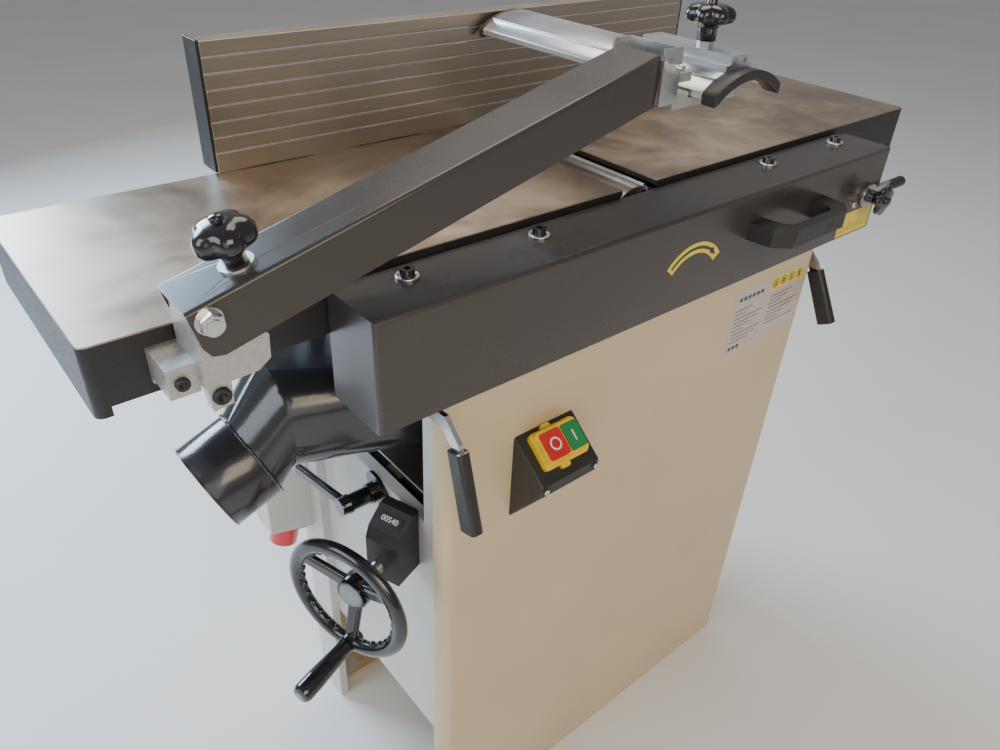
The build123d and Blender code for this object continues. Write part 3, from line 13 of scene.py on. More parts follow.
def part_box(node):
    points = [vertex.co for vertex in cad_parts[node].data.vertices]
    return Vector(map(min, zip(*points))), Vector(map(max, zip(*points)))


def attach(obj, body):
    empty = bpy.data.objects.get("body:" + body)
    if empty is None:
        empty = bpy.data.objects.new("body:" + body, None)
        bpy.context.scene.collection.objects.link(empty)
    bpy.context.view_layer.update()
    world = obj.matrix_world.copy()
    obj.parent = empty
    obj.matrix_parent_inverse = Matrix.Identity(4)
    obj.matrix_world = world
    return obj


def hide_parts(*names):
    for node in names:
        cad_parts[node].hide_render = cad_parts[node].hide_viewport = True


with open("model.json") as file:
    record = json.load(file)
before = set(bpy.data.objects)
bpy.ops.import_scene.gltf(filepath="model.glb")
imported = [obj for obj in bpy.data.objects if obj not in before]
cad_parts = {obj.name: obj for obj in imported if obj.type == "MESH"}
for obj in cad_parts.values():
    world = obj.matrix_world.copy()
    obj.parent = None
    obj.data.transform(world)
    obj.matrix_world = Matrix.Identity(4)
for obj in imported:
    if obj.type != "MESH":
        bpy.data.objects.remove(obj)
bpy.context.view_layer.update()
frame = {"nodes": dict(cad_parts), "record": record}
NODES = frame["nodes"]
BODIES = frame["record"]["behaviour"]["bodies"]
BODY_OF = {node: body for body, nodes in BODIES.items() for node in nodes}
UP = Vector((0, 0, 1))
TO_FRONT = Vector((0, -1, 0))


# ---------------------------------------------------------------- material building blocks
class Material:
    """One procedural material: a Principled shader fed by patterns in the object's own space."""

    def __init__(self, name, metallic=0.0, coat=0.0, specular=0.5):
        self.data = bpy.data.materials.new(name)
        self.data.use_nodes = True
        self.nodes = self.data.node_tree.nodes
        self.links = self.data.node_tree.links
        self.shader = self.nodes["Principled BSDF"]
        self.shader.inputs["Metallic"].default_value = metallic
        self.shader.inputs["Coat Weight"].default_value = coat
        self.shader.inputs["Coat Roughness"].default_value = 0.12
        self.shader.inputs["Specular IOR Level"].default_value = specular
        self.place = self.nodes.new("ShaderNodeTexCoord").outputs["Object"]

    def space(self, scale, turn=(0.0, 0.0, 0.0)):
        """The object's own coordinates, stretched and turned."""
        mapping = self.nodes.new("ShaderNodeMapping")
        mapping.inputs["Scale"].default_value = scale
        mapping.inputs["Rotation"].default_value = turn
        self.links.new(self.place, mapping.inputs["Vector"])
        return mapping.outputs["Vector"]

    def noise(self, scale, detail=4.0, roughness=0.55, space=None, distortion=0.0):
        """Soft random blotches."""
        node = self.nodes.new("ShaderNodeTexNoise")
        node.inputs["Scale"].default_value = scale
        node.inputs["Detail"].default_value = detail
        node.inputs["Roughness"].default_value = roughness
        node.inputs["Distortion"].default_value = distortion
        self.links.new(space or self.place, node.inputs["Vector"])
        return node.outputs["Fac"]

    def cells(self, scale):
        """Distance from scattered points, dark at each point."""
        node = self.nodes.new("ShaderNodeTexVoronoi")
        node.inputs["Scale"].default_value = scale
        self.links.new(self.place, node.inputs["Vector"])
        return node.outputs["Distance"]

    def rings(self, scale, space, distortion):
        """Uneven concentric rings."""
        node = self.nodes.new("ShaderNodeTexWave")
        node.wave_type = "RINGS"
        node.inputs["Scale"].default_value = scale
        node.inputs["Distortion"].default_value = distortion
        node.inputs["Detail"].default_value = 2.0
        self.links.new(space, node.inputs["Vector"])
        return node.outputs["Fac"]

    def between(self, value, low, high, start=0.3, end=0.7):
        """Map a pattern's start..end onto low..high, as for a roughness."""
        node = self.nodes.new("ShaderNodeMapRange")
        node.inputs["From Min"].default_value = start
        node.inputs["From Max"].default_value = end
        node.inputs["To Min"].default_value = low
        node.inputs["To Max"].default_value = high
        self.links.new(value, node.inputs["Value"])
        return node.outputs["Result"]

    def ramp(self, value, *stops):
        """Turn a pattern into colours, through (position, colour) stops."""
        node = self.nodes.new("ShaderNodeValToRGB")
        elements = node.color_ramp.elements
        while len(elements) < len(stops):
            elements.new(0.5)
        for element, (position, colour) in zip(elements, stops):
            element.position = position
            element.color = (*colour, 1.0)
        self.links.new(value, node.inputs["Fac"])
        return node.outputs["Color"]

    def mix(self, factor, first, second, blend="MIX"):
        """Blend two colours, by a number or by a pattern."""
        node = self.nodes.new("ShaderNodeMix")
        node.data_type = "RGBA"
        node.blend_type = blend
        if isinstance(factor, float):
            node.inputs["Factor"].default_value = factor
        else:
            self.links.new(factor, node.inputs["Factor"])
        self.links.new(first, node.inputs["A"])
        self.links.new(second, node.inputs["B"])
        return node.outputs["Result"]

    def finish(self, colour, roughness, height=None, depth=0.0001, strength=0.5):
        """Wire the shader, with a bump where a height pattern is given."""
        self.links.new(colour, self.shader.inputs["Base Color"])
        self.links.new(roughness, self.shader.inputs["Roughness"])
        if height is not None:
            bump = self.nodes.new("ShaderNodeBump")
            bump.inputs["Strength"].default_value = strength
            bump.inputs["Distance"].default_value = depth
            self.links.new(height, bump.inputs["Height"])
            self.links.new(bump.outputs["Normal"], self.shader.inputs["Normal"])
        return self.data


def shade(colour, factor):
    """The colour, lighter or darker, kept within white."""
    return tuple(min(1.0, c * factor) for c in colour)


def paint(name, colour, rough=(0.32, 0.42), peel=900.0, depth=0.00006, coat=0.15, dirt=0.9):
    """Sprayed or powder coated sheet, with orange peel, soft blotches and a little dust."""
    m = Material(name, coat=coat)
    blotch = m.noise(5.0, detail=6.0)
    tint = m.ramp(blotch, (0.3, shade(colour, 0.94)), (0.7, shade(colour, 1.05)))
    dust = m.noise(160.0, detail=8.0, roughness=0.75)
    specks = m.ramp(dust, (0.62, (1.0, 1.0, 1.0)), (0.8, (dirt,) * 3))
    dusty = m.mix(1.0, tint, specks, "MULTIPLY")
    grain = m.between(m.noise(14.0, detail=8.0), *rough)
    return m.finish(dusty, grain, m.noise(peel, detail=2.0), depth, 0.5)


def metal(name, colour, grain=(1.0, 1.0, 60.0), rough=(0.22, 0.4), depth=0.00003, tone=0.8, scale=18.0):
    """Bright metal with fine lines: the grain's scale is large across the lines."""
    m = Material(name, metallic=1.0)
    lines = m.noise(scale, detail=10.0, roughness=0.7, space=m.space(grain))
    tint = m.ramp(lines, (0.3, shade(colour, tone)), (0.7, colour))
    worn = m.between(m.noise(9.0, detail=6.0), *rough)
    return m.finish(tint, worn, lines, depth, 0.5)


def plastic(name, colour, rough=(0.2, 0.34), depth=0.00004, grain=1400.0, coat=0.0):
    """Moulded plastic with a fine grain and faint flow marks."""
    m = Material(name, coat=coat)
    flow = m.noise(24.0, detail=5.0, distortion=0.6)
    tint = m.ramp(flow, (0.3, shade(colour, 0.85)), (0.75, shade(colour, 1.18)))
    worn = m.between(m.noise(60.0, detail=8.0), *rough)
    return m.finish(tint, worn, m.noise(grain, detail=1.0), depth, 0.45)


def machined_iron():
    """Milled cast iron: arcs of cutter marks, oily brown stains and pale worn spots."""
    m = Material("machined_iron", metallic=1.0)
    stain = m.noise(7.0, detail=9.0, roughness=0.65, distortion=0.4)
    oily, worn, bright = (0.30, 0.225, 0.165), (0.44, 0.355, 0.28), (0.60, 0.52, 0.44)
    base = m.ramp(stain, (0.3, oily), (0.5, worn), (0.72, bright))
    pits = m.ramp(m.cells(120.0), (0.0, (0.20, 0.14, 0.10)), (0.16, (0.46, 0.37, 0.29)))
    spots = m.between(m.noise(42.0, detail=4.0), 0.0, 0.8, 0.57, 0.72)
    colour = m.mix(spots, base, pits)
    marks = m.rings(95.0, m.space((1.0, 1.0, 0.0)), 1.2)
    scuffs = m.noise(40.0, detail=10.0, roughness=0.8, space=m.space((1.0, 14.0, 1.0), (0, 0, 0.3)))
    mark_share = 0.6
    height = m.nodes.new("ShaderNodeMath")
    height.operation = "MULTIPLY_ADD"
    height.inputs[1].default_value = mark_share
    m.links.new(marks, height.inputs[0])
    m.links.new(scuffs, height.inputs[2])
    return m.finish(colour, m.between(stain, 0.26, 0.48), height.outputs["Value"], 0.00005, 0.35)


def casting(name, colour, rough=(0.4, 0.6), depth=0.0004):
    """Painted or bare sand casting with a pebbled skin."""
    m = Material(name, coat=0.1)
    skin = m.noise(330.0, detail=6.0, roughness=0.6)
    tint = m.ramp(m.noise(16.0, detail=6.0), (0.3, shade(colour, 0.75)), (0.7, shade(colour, 1.25)))
    return m.finish(tint, m.between(skin, *rough), skin, depth, 0.5)


def cast_aluminium():
    """Rough tumbled aluminium with darker pores."""
    m = Material("cast_aluminium", metallic=0.85)
    skin = m.noise(420.0, detail=8.0, roughness=0.65)
    tint = m.ramp(skin, (0.30, (0.44, 0.43, 0.41)), (0.66, (0.60, 0.59, 0.57)))
    return m.finish(tint, m.between(skin, 0.38, 0.58), skin, 0.0003, 0.5)


def rubber():
    """Matt black belt rubber with a dusty bloom."""
    m = Material("rubber", specular=0.3)
    tint = m.ramp(m.noise(300.0), (0.3, (0.012, 0.012, 0.012)), (0.7, (0.03, 0.03, 0.031)))
    return m.finish(tint, m.between(m.noise(80.0), 0.65, 0.8), m.noise(900.0), 0.0001, 0.5)


def printed(name, colour):
    """Printed film with slight ink mottling and a soft sheen."""
    m = Material(name, coat=0.25)
    tint = m.ramp(m.noise(700.0, detail=3.0), (0.3, shade(colour, 0.93)), (0.7, shade(colour, 1.03)))
    return m.finish(tint, m.between(m.noise(30.0), 0.3, 0.42), m.noise(500.0), 0.00002, 0.4)


FINISHES = {
    "cream_paint": paint("cream_paint", (0.60, 0.475, 0.30)),
    # Painted light: a neutral grey copy of the cream paint that stands for cool daylight from the left
    # falling on the left side panels.
    "cool_lit_side_paint": paint("cool_lit_side_paint", (0.56, 0.55, 0.53)),
    "graphite_coat": paint("graphite_coat", (0.044, 0.037, 0.035), (0.24, 0.36), 1500.0, 0.00009, 0.2, 1.3),
    "casting_paint": casting("casting_paint", (0.012, 0.012, 0.014)),
    "machined_iron": machined_iron(),
    "hood_gloss": paint("hood_gloss", (0.024, 0.024, 0.029), (0.14, 0.26), 260.0, 0.0002, 0.45, 1.5),
    "steel": metal("steel", (0.58, 0.57, 0.55)),
    "zinc": metal("zinc", (0.74, 0.75, 0.74), (1.0, 1.0, 1.0), (0.2, 0.42), 0.00005, 0.72, 240.0),
    "aluminium": metal("aluminium", (0.80, 0.82, 0.85), (70.0, 1.0, 70.0), (0.24, 0.38)),
    "cast_aluminium": cast_aluminium(),
    "anodised": metal("anodised", (0.56, 0.49, 0.40), (1.0, 1.0, 90.0), (0.3, 0.42), 0.00004, 0.8),
    "groove": metal("groove", (0.86, 0.84, 0.80), (1.0, 1.0, 90.0), (0.2, 0.3)),
    "gloss_black": plastic("gloss_black", (0.012, 0.012, 0.014), (0.10, 0.2), 0.00002, 900.0, 0.5),
    "black_plastic": plastic("black_plastic", (0.022, 0.021, 0.021), (0.34, 0.5), 0.00012, 1200.0),
    "satin_black": plastic("satin_black", (0.030, 0.027, 0.025), (0.26, 0.38), 0.00006, 700.0, 0.1),
    "yellow_plastic": plastic("yellow_plastic", (0.86, 0.58, 0.02), (0.16, 0.28), 0.00003, 1000.0, 0.2),
    "red_plastic": plastic("red_plastic", (0.62, 0.018, 0.022), (0.16, 0.28), 0.00003, 900.0, 0.25),
    "green_plastic": plastic("green_plastic", (0.018, 0.24, 0.075), (0.16, 0.28), 0.00003, 900.0, 0.25),
    "grey_plastic": plastic("grey_plastic", (0.22, 0.26, 0.30), (0.26, 0.4), 0.00004, 900.0),
    "rubber": rubber(),
    "white_print": printed("white_print", (0.52, 0.47, 0.44)),
    "yellow_print": printed("yellow_print", (0.80, 0.62, 0.02)),
    "dark_print": printed("dark_print", (0.04, 0.032, 0.028)),
    "pale_print": printed("pale_print", (0.85, 0.85, 0.83)),
}


# ---------------------------------------------------------------- finishes of the CAD pieces
EDGE_ROUNDING = {"front_cover": 0.0009, "rear_cover": 0.0009, "cabinet_body": 0.0008, "side_beam": 0.0007,
                 "guard_arm": 0.0007, "outfeed_table": 0.0012, "infeed_table": 0.0012, "dust_hood": 0.0008,
                 "thicknesser_table": 0.001, "fence_extrusion": 0.0004, "fence_end_plates": 0.0005,
                 "bow_handle": 0.0018, "switch_box": 0.0012, "position_gauge": 0.0012, "arm_bracket": 0.0015,
                 "switch_bezel": 0.0008, "stop_button": 0.0008, "start_button": 0.0008,
                 "lock_lever_left": 0.0012, "lock_lever_right": 0.0012, "clamp_lever": 0.0012,
                 "table_hinge_arms": 0.001, "fence_rear_plate": 0.0008, "guard_end_caps": 0.0014}


def coat_node(node, finish):
    """Give a CAD node its finish and fine rounded edges, leaving its mesh as it is."""
    piece = NODES[node]
    piece.data.materials.clear()
    piece.data.materials.append(FINISHES[finish])
    weld = piece.modifiers.new("weld", "WELD")
    weld.merge_threshold = 0.000002
    rounding = piece.modifiers.new("rounding", "BEVEL")
    rounding.width = EDGE_ROUNDING.get(node, 0.0004)
    rounding.segments = 2
    rounding.limit_method = "ANGLE"
    rounding.angle_limit = radians(38)
    rounding.harden_normals = False
    rounding.use_clamp_overlap = True


def coat_faces(node, finish, test):
    """Give a second finish to the node's faces whose centre and normal pass a test."""
    mesh = NODES[node].data
    mesh.materials.append(FINISHES[finish])
    index = len(mesh.materials) - 1
    for face in mesh.polygons:
        if test(face.center, face.normal):
            face.material_index = index


for row in frame["record"]["subparts"]:
    coat_node(row["node"], row["material_slot"])

SHAFT_REACH = 0.014
BEAM_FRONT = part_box("side_beam")[0].y + SHAFT_REACH
TABLE_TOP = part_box("outfeed_table")[1].z
COVER_FRONT = -0.193
FACES_UP = 0.7
MACHINED_DEPTH = 0.003
LEFT_SIDE_X = -0.2
INLET_BOX_X = -0.25
FENCE_GROOVE_Y = (0.1292, 0.1305)
DEPTH_GRIP_X = 0.3985
LEFT_GRIP_TOP = 0.7125
RIGHT_GRIP_TOP = 0.6995
RAIL_WASHER_LOW = 0.9955
ARM_SEAT = Vector((-0.4463, -0.159, 0.9017))
ARM_WASHER_LOW = 0.897
ARM_WASHER_R = 0.0145


def on_arm_washer(centre):
    """True on the washer under the arm's hand knob."""
    return (centre - ARM_SEAT).length < ARM_WASHER_R and centre.z > ARM_WASHER_LOW


for table in ("outfeed_table", "infeed_table"):
    coat_faces(table, "casting_paint", lambda c, n: n.z < FACES_UP or c.z < TABLE_TOP - MACHINED_DEPTH)
coat_faces("thicknesser_table", "casting_paint", lambda c, n: n.z < FACES_UP)
# Painted light: the cabinet's faces left of this limit get the grey copy of the cream paint, standing for
# cool light from the left.
coat_faces("cabinet_body", "cool_lit_side_paint", lambda c, n: c.x < LEFT_SIDE_X)
coat_faces("side_beam", "steel", lambda c, n: c.y < BEAM_FRONT - 0.0095)
coat_faces("fence_extrusion", "groove", lambda c, n: FENCE_GROOVE_Y[0] < c.y < FENCE_GROOVE_Y[1])
coat_faces("depth_lever", "steel", lambda c, n: 0.0 < c.x < DEPTH_GRIP_X)
coat_faces("lock_lever_left", "zinc", lambda c, n: c.z > LEFT_GRIP_TOP)
coat_faces("lock_lever_right", "zinc", lambda c, n: c.z > RIGHT_GRIP_TOP)
coat_faces("guard_rail", "zinc", lambda c, n: c.z > RAIL_WASHER_LOW)
coat_faces("guard_arm", "zinc", lambda c, n: on_arm_washer(c))
# Painted light: the rear cover's faces left of the inlet box get the same grey copy, standing for cool light
# from the left.
coat_faces("rear_cover", "cool_lit_side_paint", lambda c, n: c.x < INLET_BOX_X)


# ---------------------------------------------------------------- building new pieces
FILM = 0.00022
INK = 0.0004


def make_piece(name, mesh_bm, finish, body, smooth=False):
    """Turn a bmesh in the CAD's frame into a piece that rides on a body."""
    bmesh.ops.recalc_face_normals(mesh_bm, faces=mesh_bm.faces)
    mesh = bpy.data.meshes.new(name)
    mesh_bm.to_mesh(mesh)
    mesh_bm.free()
    if smooth:
        for face in mesh.polygons:
            face.use_smooth = True
    mesh.materials.append(FINISHES[finish])
    piece = bpy.data.objects.new(name, mesh)
    bpy.context.scene.collection.objects.link(piece)
    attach(piece, body)
    return piece


class Face:
    """A flat place on the object: a point, and its directions across and up."""

    def __init__(self, origin, across, up):
        self.origin = Vector(origin)
        self.across = Vector(across).normalized()
        self.up = Vector(up).normalized()
        self.out = self.across.cross(self.up)

    def point(self, u, v, lift=0.0):
        """The place u across, v up and lift out of the face."""
        return self.origin + self.across * u + self.up * v + self.out * lift


def slab(bm, face, outline, low, high):
    """Add the outline's prism between two lifts above a face."""
    bottom = [bm.verts.new(face.point(u, v, low)) for u, v in outline]
    top = [bm.verts.new(face.point(u, v, high)) for u, v in outline]
    bm.faces.new(top)
    bm.faces.new(list(reversed(bottom)))
    count = len(outline)
    for i in range(count):
        j = (i + 1) % count
        bm.faces.new((bottom[i], bottom[j], top[j], top[i]))


def rounded(u, v, width, height, corner, steps=4):
    """Outline of a rectangle with round corners, centred on (u, v)."""
    points = []
    for index, (su, sv) in enumerate(((1, 1), (-1, 1), (-1, -1), (1, -1))):
        for step in range(steps + 1):
            a = radians(90 * (index + step / steps))
            points.append((u + su * (width / 2 - corner) + corner * cos(a),
                           v + sv * (height / 2 - corner) + corner * sin(a)))
    return points


def arc(centre, radius, start, end, steps):
    """Points along an arc, between two angles in degrees."""
    points = []
    for i in range(steps + 1):
        a = radians(start + (end - start) * i / steps)
        points.append((centre[0] + radius * cos(a), centre[1] + radius * sin(a)))
    return points


def arc_band(centre, inner, outer, start, end, steps=20):
    """Outline of a band between two radii and two angles in degrees."""
    return arc(centre, inner, start, end, steps) + arc(centre, outer, start, end, steps)[::-1]


def print_piece(name, face, outlines, finish, body, high=FILM, low=-0.0002):
    """Thin printed film with the given outlines, a little sunk into its face."""
    bm = bmesh.new()
    for outline in outlines:
        slab(bm, face, outline, low, high)
    make_piece(name, bm, finish, body)


def directions(axis):
    """An axis as a unit vector, with two directions square to it."""
    axis = Vector(axis).normalized()
    side = axis.orthogonal().normalized()
    return axis, side, axis.cross(side)


def lathe(name, origin, axis, profile, finish, body, steps=40):
    """Turn a (radius, run) profile round an axis."""
    axis, side, other = directions(axis)
    bm = bmesh.new()
    rows = []
    for radius, run in profile:
        centre = Vector(origin) + axis * run
        count = steps if radius > 0.0 else 1
        turns = [2 * pi * i / steps for i in range(count)]
        rows.append([bm.verts.new(centre + (side * cos(a) + other * sin(a)) * radius) for a in turns])
    for near, far in zip(rows, rows[1:]):
        for i in range(steps):
            j = (i + 1) % steps
            corners = [near[i % len(near)], near[j % len(near)], far[j % len(far)], far[i % len(far)]]
            unique = list(dict.fromkeys(corners))
            if len(unique) > 2:
                bm.faces.new(unique)
    make_piece(name, bm, finish, body, smooth=True)


def tube_ring(name, origin, axis, radius, thickness, finish, body, wobble=0.0):
    """A closed bead round an axis, with slight ripples where it is a weld."""
    curve = bpy.data.curves.new(name, "CURVE")
    curve.dimensions = "3D"
    curve.bevel_depth = thickness
    curve.bevel_resolution = 3
    steps = 96
    spline = curve.splines.new("POLY")
    spline.points.add(steps - 1)
    spline.use_cyclic_u = True
    axis, side, other = directions(axis)
    for i, point in enumerate(spline.points):
        a = 2 * pi * i / steps
        place = Vector(origin) + (side * cos(a) + other * sin(a)) * (radius + wobble * sin(31 * a))
        point.co = (*place, 1.0)
        point.radius = 1.0 + 6.0 * wobble / thickness * sin(47 * a) * 0.1
    curve.materials.append(FINISHES[finish])
    piece = bpy.data.objects.new(name, curve)
    bpy.context.scene.collection.objects.link(piece)
    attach(piece, body)


# ---------------------------------------------------------------- stickers on the beam and the front cover
beam = Face((0.0, BEAM_FRONT, 0.0), (1, 0, 0), (0, 0, 1))
cover = Face((0.0, COVER_FRONT, 0.0), (1, 0, 0), (0, 0, 1))


def filling(across, up, corner):
    """Outline of a rounded rectangle between two limits each way."""
    return rounded(sum(across) / 2, sum(up) / 2, across[1] - across[0], up[1] - up[0], corner)


def text_bar(u, v, width, height):
    """Outline of a plain bar, from its lower left corner."""
    return [(u, v), (u + width, v), (u + width, v + height), (u, v + height)]


def word_rows(left, right, top, rows, pitch, height, seed):
    """Rows of short bars that stand for printed lines, in no language."""
    bars = []
    for row in range(rows):
        u = left
        step = seed + row * 7
        end = right - (0.012 * ((row * 5 + seed) % 4))
        while u < end - 0.003:
            width = 0.0022 + 0.0011 * (step % 5)
            width = min(width, end - u)
            bars.append(text_bar(u, top - row * pitch, width, height))
            u += width + 0.0012
            step = step * 3 + 1
    return bars


ARC_CENTRE = (0.011, 0.7625)
sticker = arc_band(ARC_CENTRE, 0.0425, 0.0545, 38, 140)
print_piece("turn_sticker", beam, [sticker], "yellow_print", "tables")
shaft = arc_band(ARC_CENTRE, 0.0468, 0.0502, 54, 136)
head = []
for radius, angle in ((0.0445, 56), (0.0485, 43), (0.0525, 56)):
    head.append((ARC_CENTRE[0] + radius * cos(radians(angle)), ARC_CENTRE[1] + radius * sin(radians(angle))))
print_piece("turn_sticker_arrow", beam, [shaft, head], "dark_print", "tables", high=INK)

SCALE_X = (0.303, 0.377)
SCALE_Z = (0.7475, 0.778)
TICK_PITCH = 0.0053
TICK_WIDTH = 0.0007
print_piece("depth_scale", beam, [filling(SCALE_X, SCALE_Z, 0.001)], "yellow_print", "tables")
ticks = []
for index in range(13):
    tall = 0.014 if index % 4 == 0 else 0.009
    ticks.append(text_bar(SCALE_X[0] + 0.005 + index * TICK_PITCH, SCALE_Z[0] + 0.004, TICK_WIDTH, tall))
print_piece("depth_scale_ticks", beam, ticks, "dark_print", "tables", high=INK)

LABEL_X = (0.131, 0.278)
LABEL_Z = (0.626, 0.717)
LABEL_LEFT, LABEL_RIGHT = LABEL_X
LABEL_LOW, LABEL_TOP = LABEL_Z
ROW_PITCH = 0.0056
FULL_TURN = 359.9
print_piece("data_label", cover, [filling(LABEL_X, LABEL_Z, 0.0015)], "white_print", "cabinet")
text_top = LABEL_TOP - 0.030
label_text = word_rows(LABEL_LEFT + 0.008, LABEL_LEFT + 0.068, text_top, 9, ROW_PITCH, 0.0012, 2)
label_text += word_rows(LABEL_LEFT + 0.078, LABEL_RIGHT - 0.006, text_top, 8, ROW_PITCH, 0.0011, 5)
for index in range(6):
    label_text.append(text_bar(LABEL_LEFT + 0.010 + 0.0085 * index, LABEL_TOP - 0.017, 0.006, 0.005))
for index in range(3):
    label_text.append(text_bar(LABEL_LEFT + 0.008 + 0.008 * index, LABEL_LOW + 0.005, 0.0055, 0.0055))
print_piece("data_label_rows", cover, label_text, "dark_print", "cabinet", high=INK)
STRIP_U = LABEL_LEFT + 0.108
STRIP_V = LABEL_TOP - 0.0115
strip = rounded(STRIP_U, STRIP_V, 0.070, 0.017, 0.001)
print_piece("sign_strip", cover, [strip], "yellow_print", "cabinet", high=INK)
signs = []
for index in range(4):
    u = STRIP_U - 0.0255 + index * 0.017
    dot_radius = 0.0020 + 0.0004 * (index % 2)
    signs.append(arc_band((u, STRIP_V), 0.0052, 0.0062, 0, FULL_TURN, 28))
    signs.append(arc((u, STRIP_V + 0.0012), dot_radius, 0, 360, 12)[:-1])
    signs.append(text_bar(u - 0.0022, STRIP_V - 0.0036, 0.0044, 0.0022))
print_piece("sign_strip_signs", cover, signs, "dark_print", "cabinet", high=0.0006)

# ---------------------------------------------------------------- switch
SLOPE = Face((0.0, COVER_FRONT, 0.661), (1, 0, 0), (0, 0.785, 0.62))
BUTTON_RUN = 0.0245


def button_sign(name, x, lift, outline, button):
    """Pale sign printed on a button of the sloping switch."""
    face = Face(SLOPE.point(x, -BUTTON_RUN, lift), SLOPE.across, SLOPE.up)
    print_piece(name, face, [outline], "pale_print", button, high=0.00015, low=-0.0007)


button_sign("stop_sign", -0.181, 0.016, arc_band((0, 0), 0.0050, 0.0068, 0, FULL_TURN, 36), "stop_button")
button_sign("start_sign", -0.1548, 0.014, rounded(0, 0, 0.0018, 0.0118, 0.0006), "start_button")
screw_head = [(0.0032, -0.0006), (0.0032, 0.0004), (0.0026, 0.0011)]
screw_head += [(0.0014, 0.0013), (0.0012, 0.0006), (0.0, 0.0006)]
for side, x in (("left", -0.205), ("right", -0.137)):
    lathe(f"switch_screw_{side}", (x, -0.2399, 0.6195), TO_FRONT, screw_head, "zinc", "cabinet", 24)

# ---------------------------------------------------------------- handwheel and position gauge
WHEEL_YAW = radians(20.1)
WHEEL_OUT = Vector((-cos(WHEEL_YAW), -sin(WHEEL_YAW), 0.0))
WHEEL_SIDE = Vector((sin(WHEEL_YAW), -cos(WHEEL_YAW), 0.0))
WHEEL_AXIS = UP * 0.4945
HUB = WHEEL_AXIS + WHEEL_OUT * 0.4048
hub_face = HUB - WHEEL_OUT * 0.0072
cap_profile = [(0.0150, -0.001), (0.0152, 0.0012), (0.0142, 0.0024)]
cap_profile += [(0.0100, 0.0032), (0.0050, 0.0036), (0.0, 0.0037)]
lathe("hub_cap", hub_face, WHEEL_OUT, cap_profile, "grey_plastic", "handwheel")
cap_edge = hub_face + WHEEL_OUT * 0.0008
tube_ring("hub_cap_rim", cap_edge, WHEEL_OUT, 0.0162, 0.0009, "gloss_black", "handwheel")
grip_end = UP * 0.4285 + WHEEL_OUT * 0.4838
plug_profile = [(0.0046, -0.002), (0.0047, 0.0004), (0.0034, 0.0011), (0.0, 0.0013)]
lathe("grip_plug", grip_end, WHEEL_OUT, plug_profile, "grey_plastic", "wheel_grip")

WAVES = 30
WAVE_RING = 0.0607
WAVE_R = 0.0044
SPOKES = (30, 150, 270)
SPOKE_CLEARANCE = 10
bm = bmesh.new()
rim_middle = WHEEL_AXIS + WHEEL_OUT * 0.404
for index in range(WAVES):
    angle = 360 * index / WAVES
    if min(abs((angle - spoke + 180) % 360 - 180) for spoke in SPOKES) > SPOKE_CLEARANCE:
        a = radians(angle)
        centre = rim_middle + (WHEEL_SIDE * cos(a) + UP * sin(a)) * WAVE_RING
        bmesh.ops.create_icosphere(bm, subdivisions=2, radius=WAVE_R, matrix=Matrix.Translation(centre))
make_piece("rim_finger_waves", bm, "gloss_black", "handwheel", smooth=True)

gauge_mid = WHEEL_OUT * 0.3352 + WHEEL_SIDE * 0.006 + UP * 0.5522
gauge_face = Face(gauge_mid, WHEEL_SIDE, UP * 0.016 - WHEEL_OUT * 0.022)
window_edge = rounded(0, 0, 0.030, 0.0125, 0.002)
print_piece("gauge_window_frame", gauge_face, [window_edge], "satin_black", "cabinet", 0.0008, -0.002)
window = rounded(0, 0, 0.025, 0.0085, 0.001)
print_piece("gauge_window", gauge_face, [window], "dark_print", "cabinet", high=0.0011)
digits = bpy.data.curves.new("gauge_digits", "FONT")
digits.body = "00540"
digits.size = 0.0085
digits.extrude = 0.00012
digits.align_x = "CENTER"
digits.align_y = "CENTER"
holder = bpy.data.objects.new("digits_source", digits)
bpy.context.scene.collection.objects.link(holder)
bpy.context.view_layer.update()
depsgraph = bpy.context.evaluated_depsgraph_get()
digit_mesh = bpy.data.meshes.new_from_object(holder.evaluated_get(depsgraph))
bpy.data.objects.remove(holder)
turn = Matrix((gauge_face.across, gauge_face.up, gauge_face.out)).transposed().to_4x4()
digit_mesh.transform(Matrix.Translation(gauge_face.point(0, 0, 0.0012)) @ turn)
digit_mesh.materials.clear()
digit_mesh.materials.append(FINISHES["pale_print"])
digit_piece = bpy.data.objects.new("gauge_digits", digit_mesh)
bpy.context.scene.collection.objects.link(digit_piece)
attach(digit_piece, "cabinet")

# ---------------------------------------------------------------- lobed hand knobs
# Each row of a knob's body: share of its height, share of its radius, depth of the dips between lobes.
KNOB_ROWS = ((0.06, 0.66, 0.10), (0.18, 0.90, 0.17), (0.34, 0.985, 0.19), (0.60, 0.975, 0.19),
             (0.80, 0.88, 0.16), (0.92, 0.70, 0.09), (0.985, 0.45, 0.02), (1.0, 0.2, 0.0))


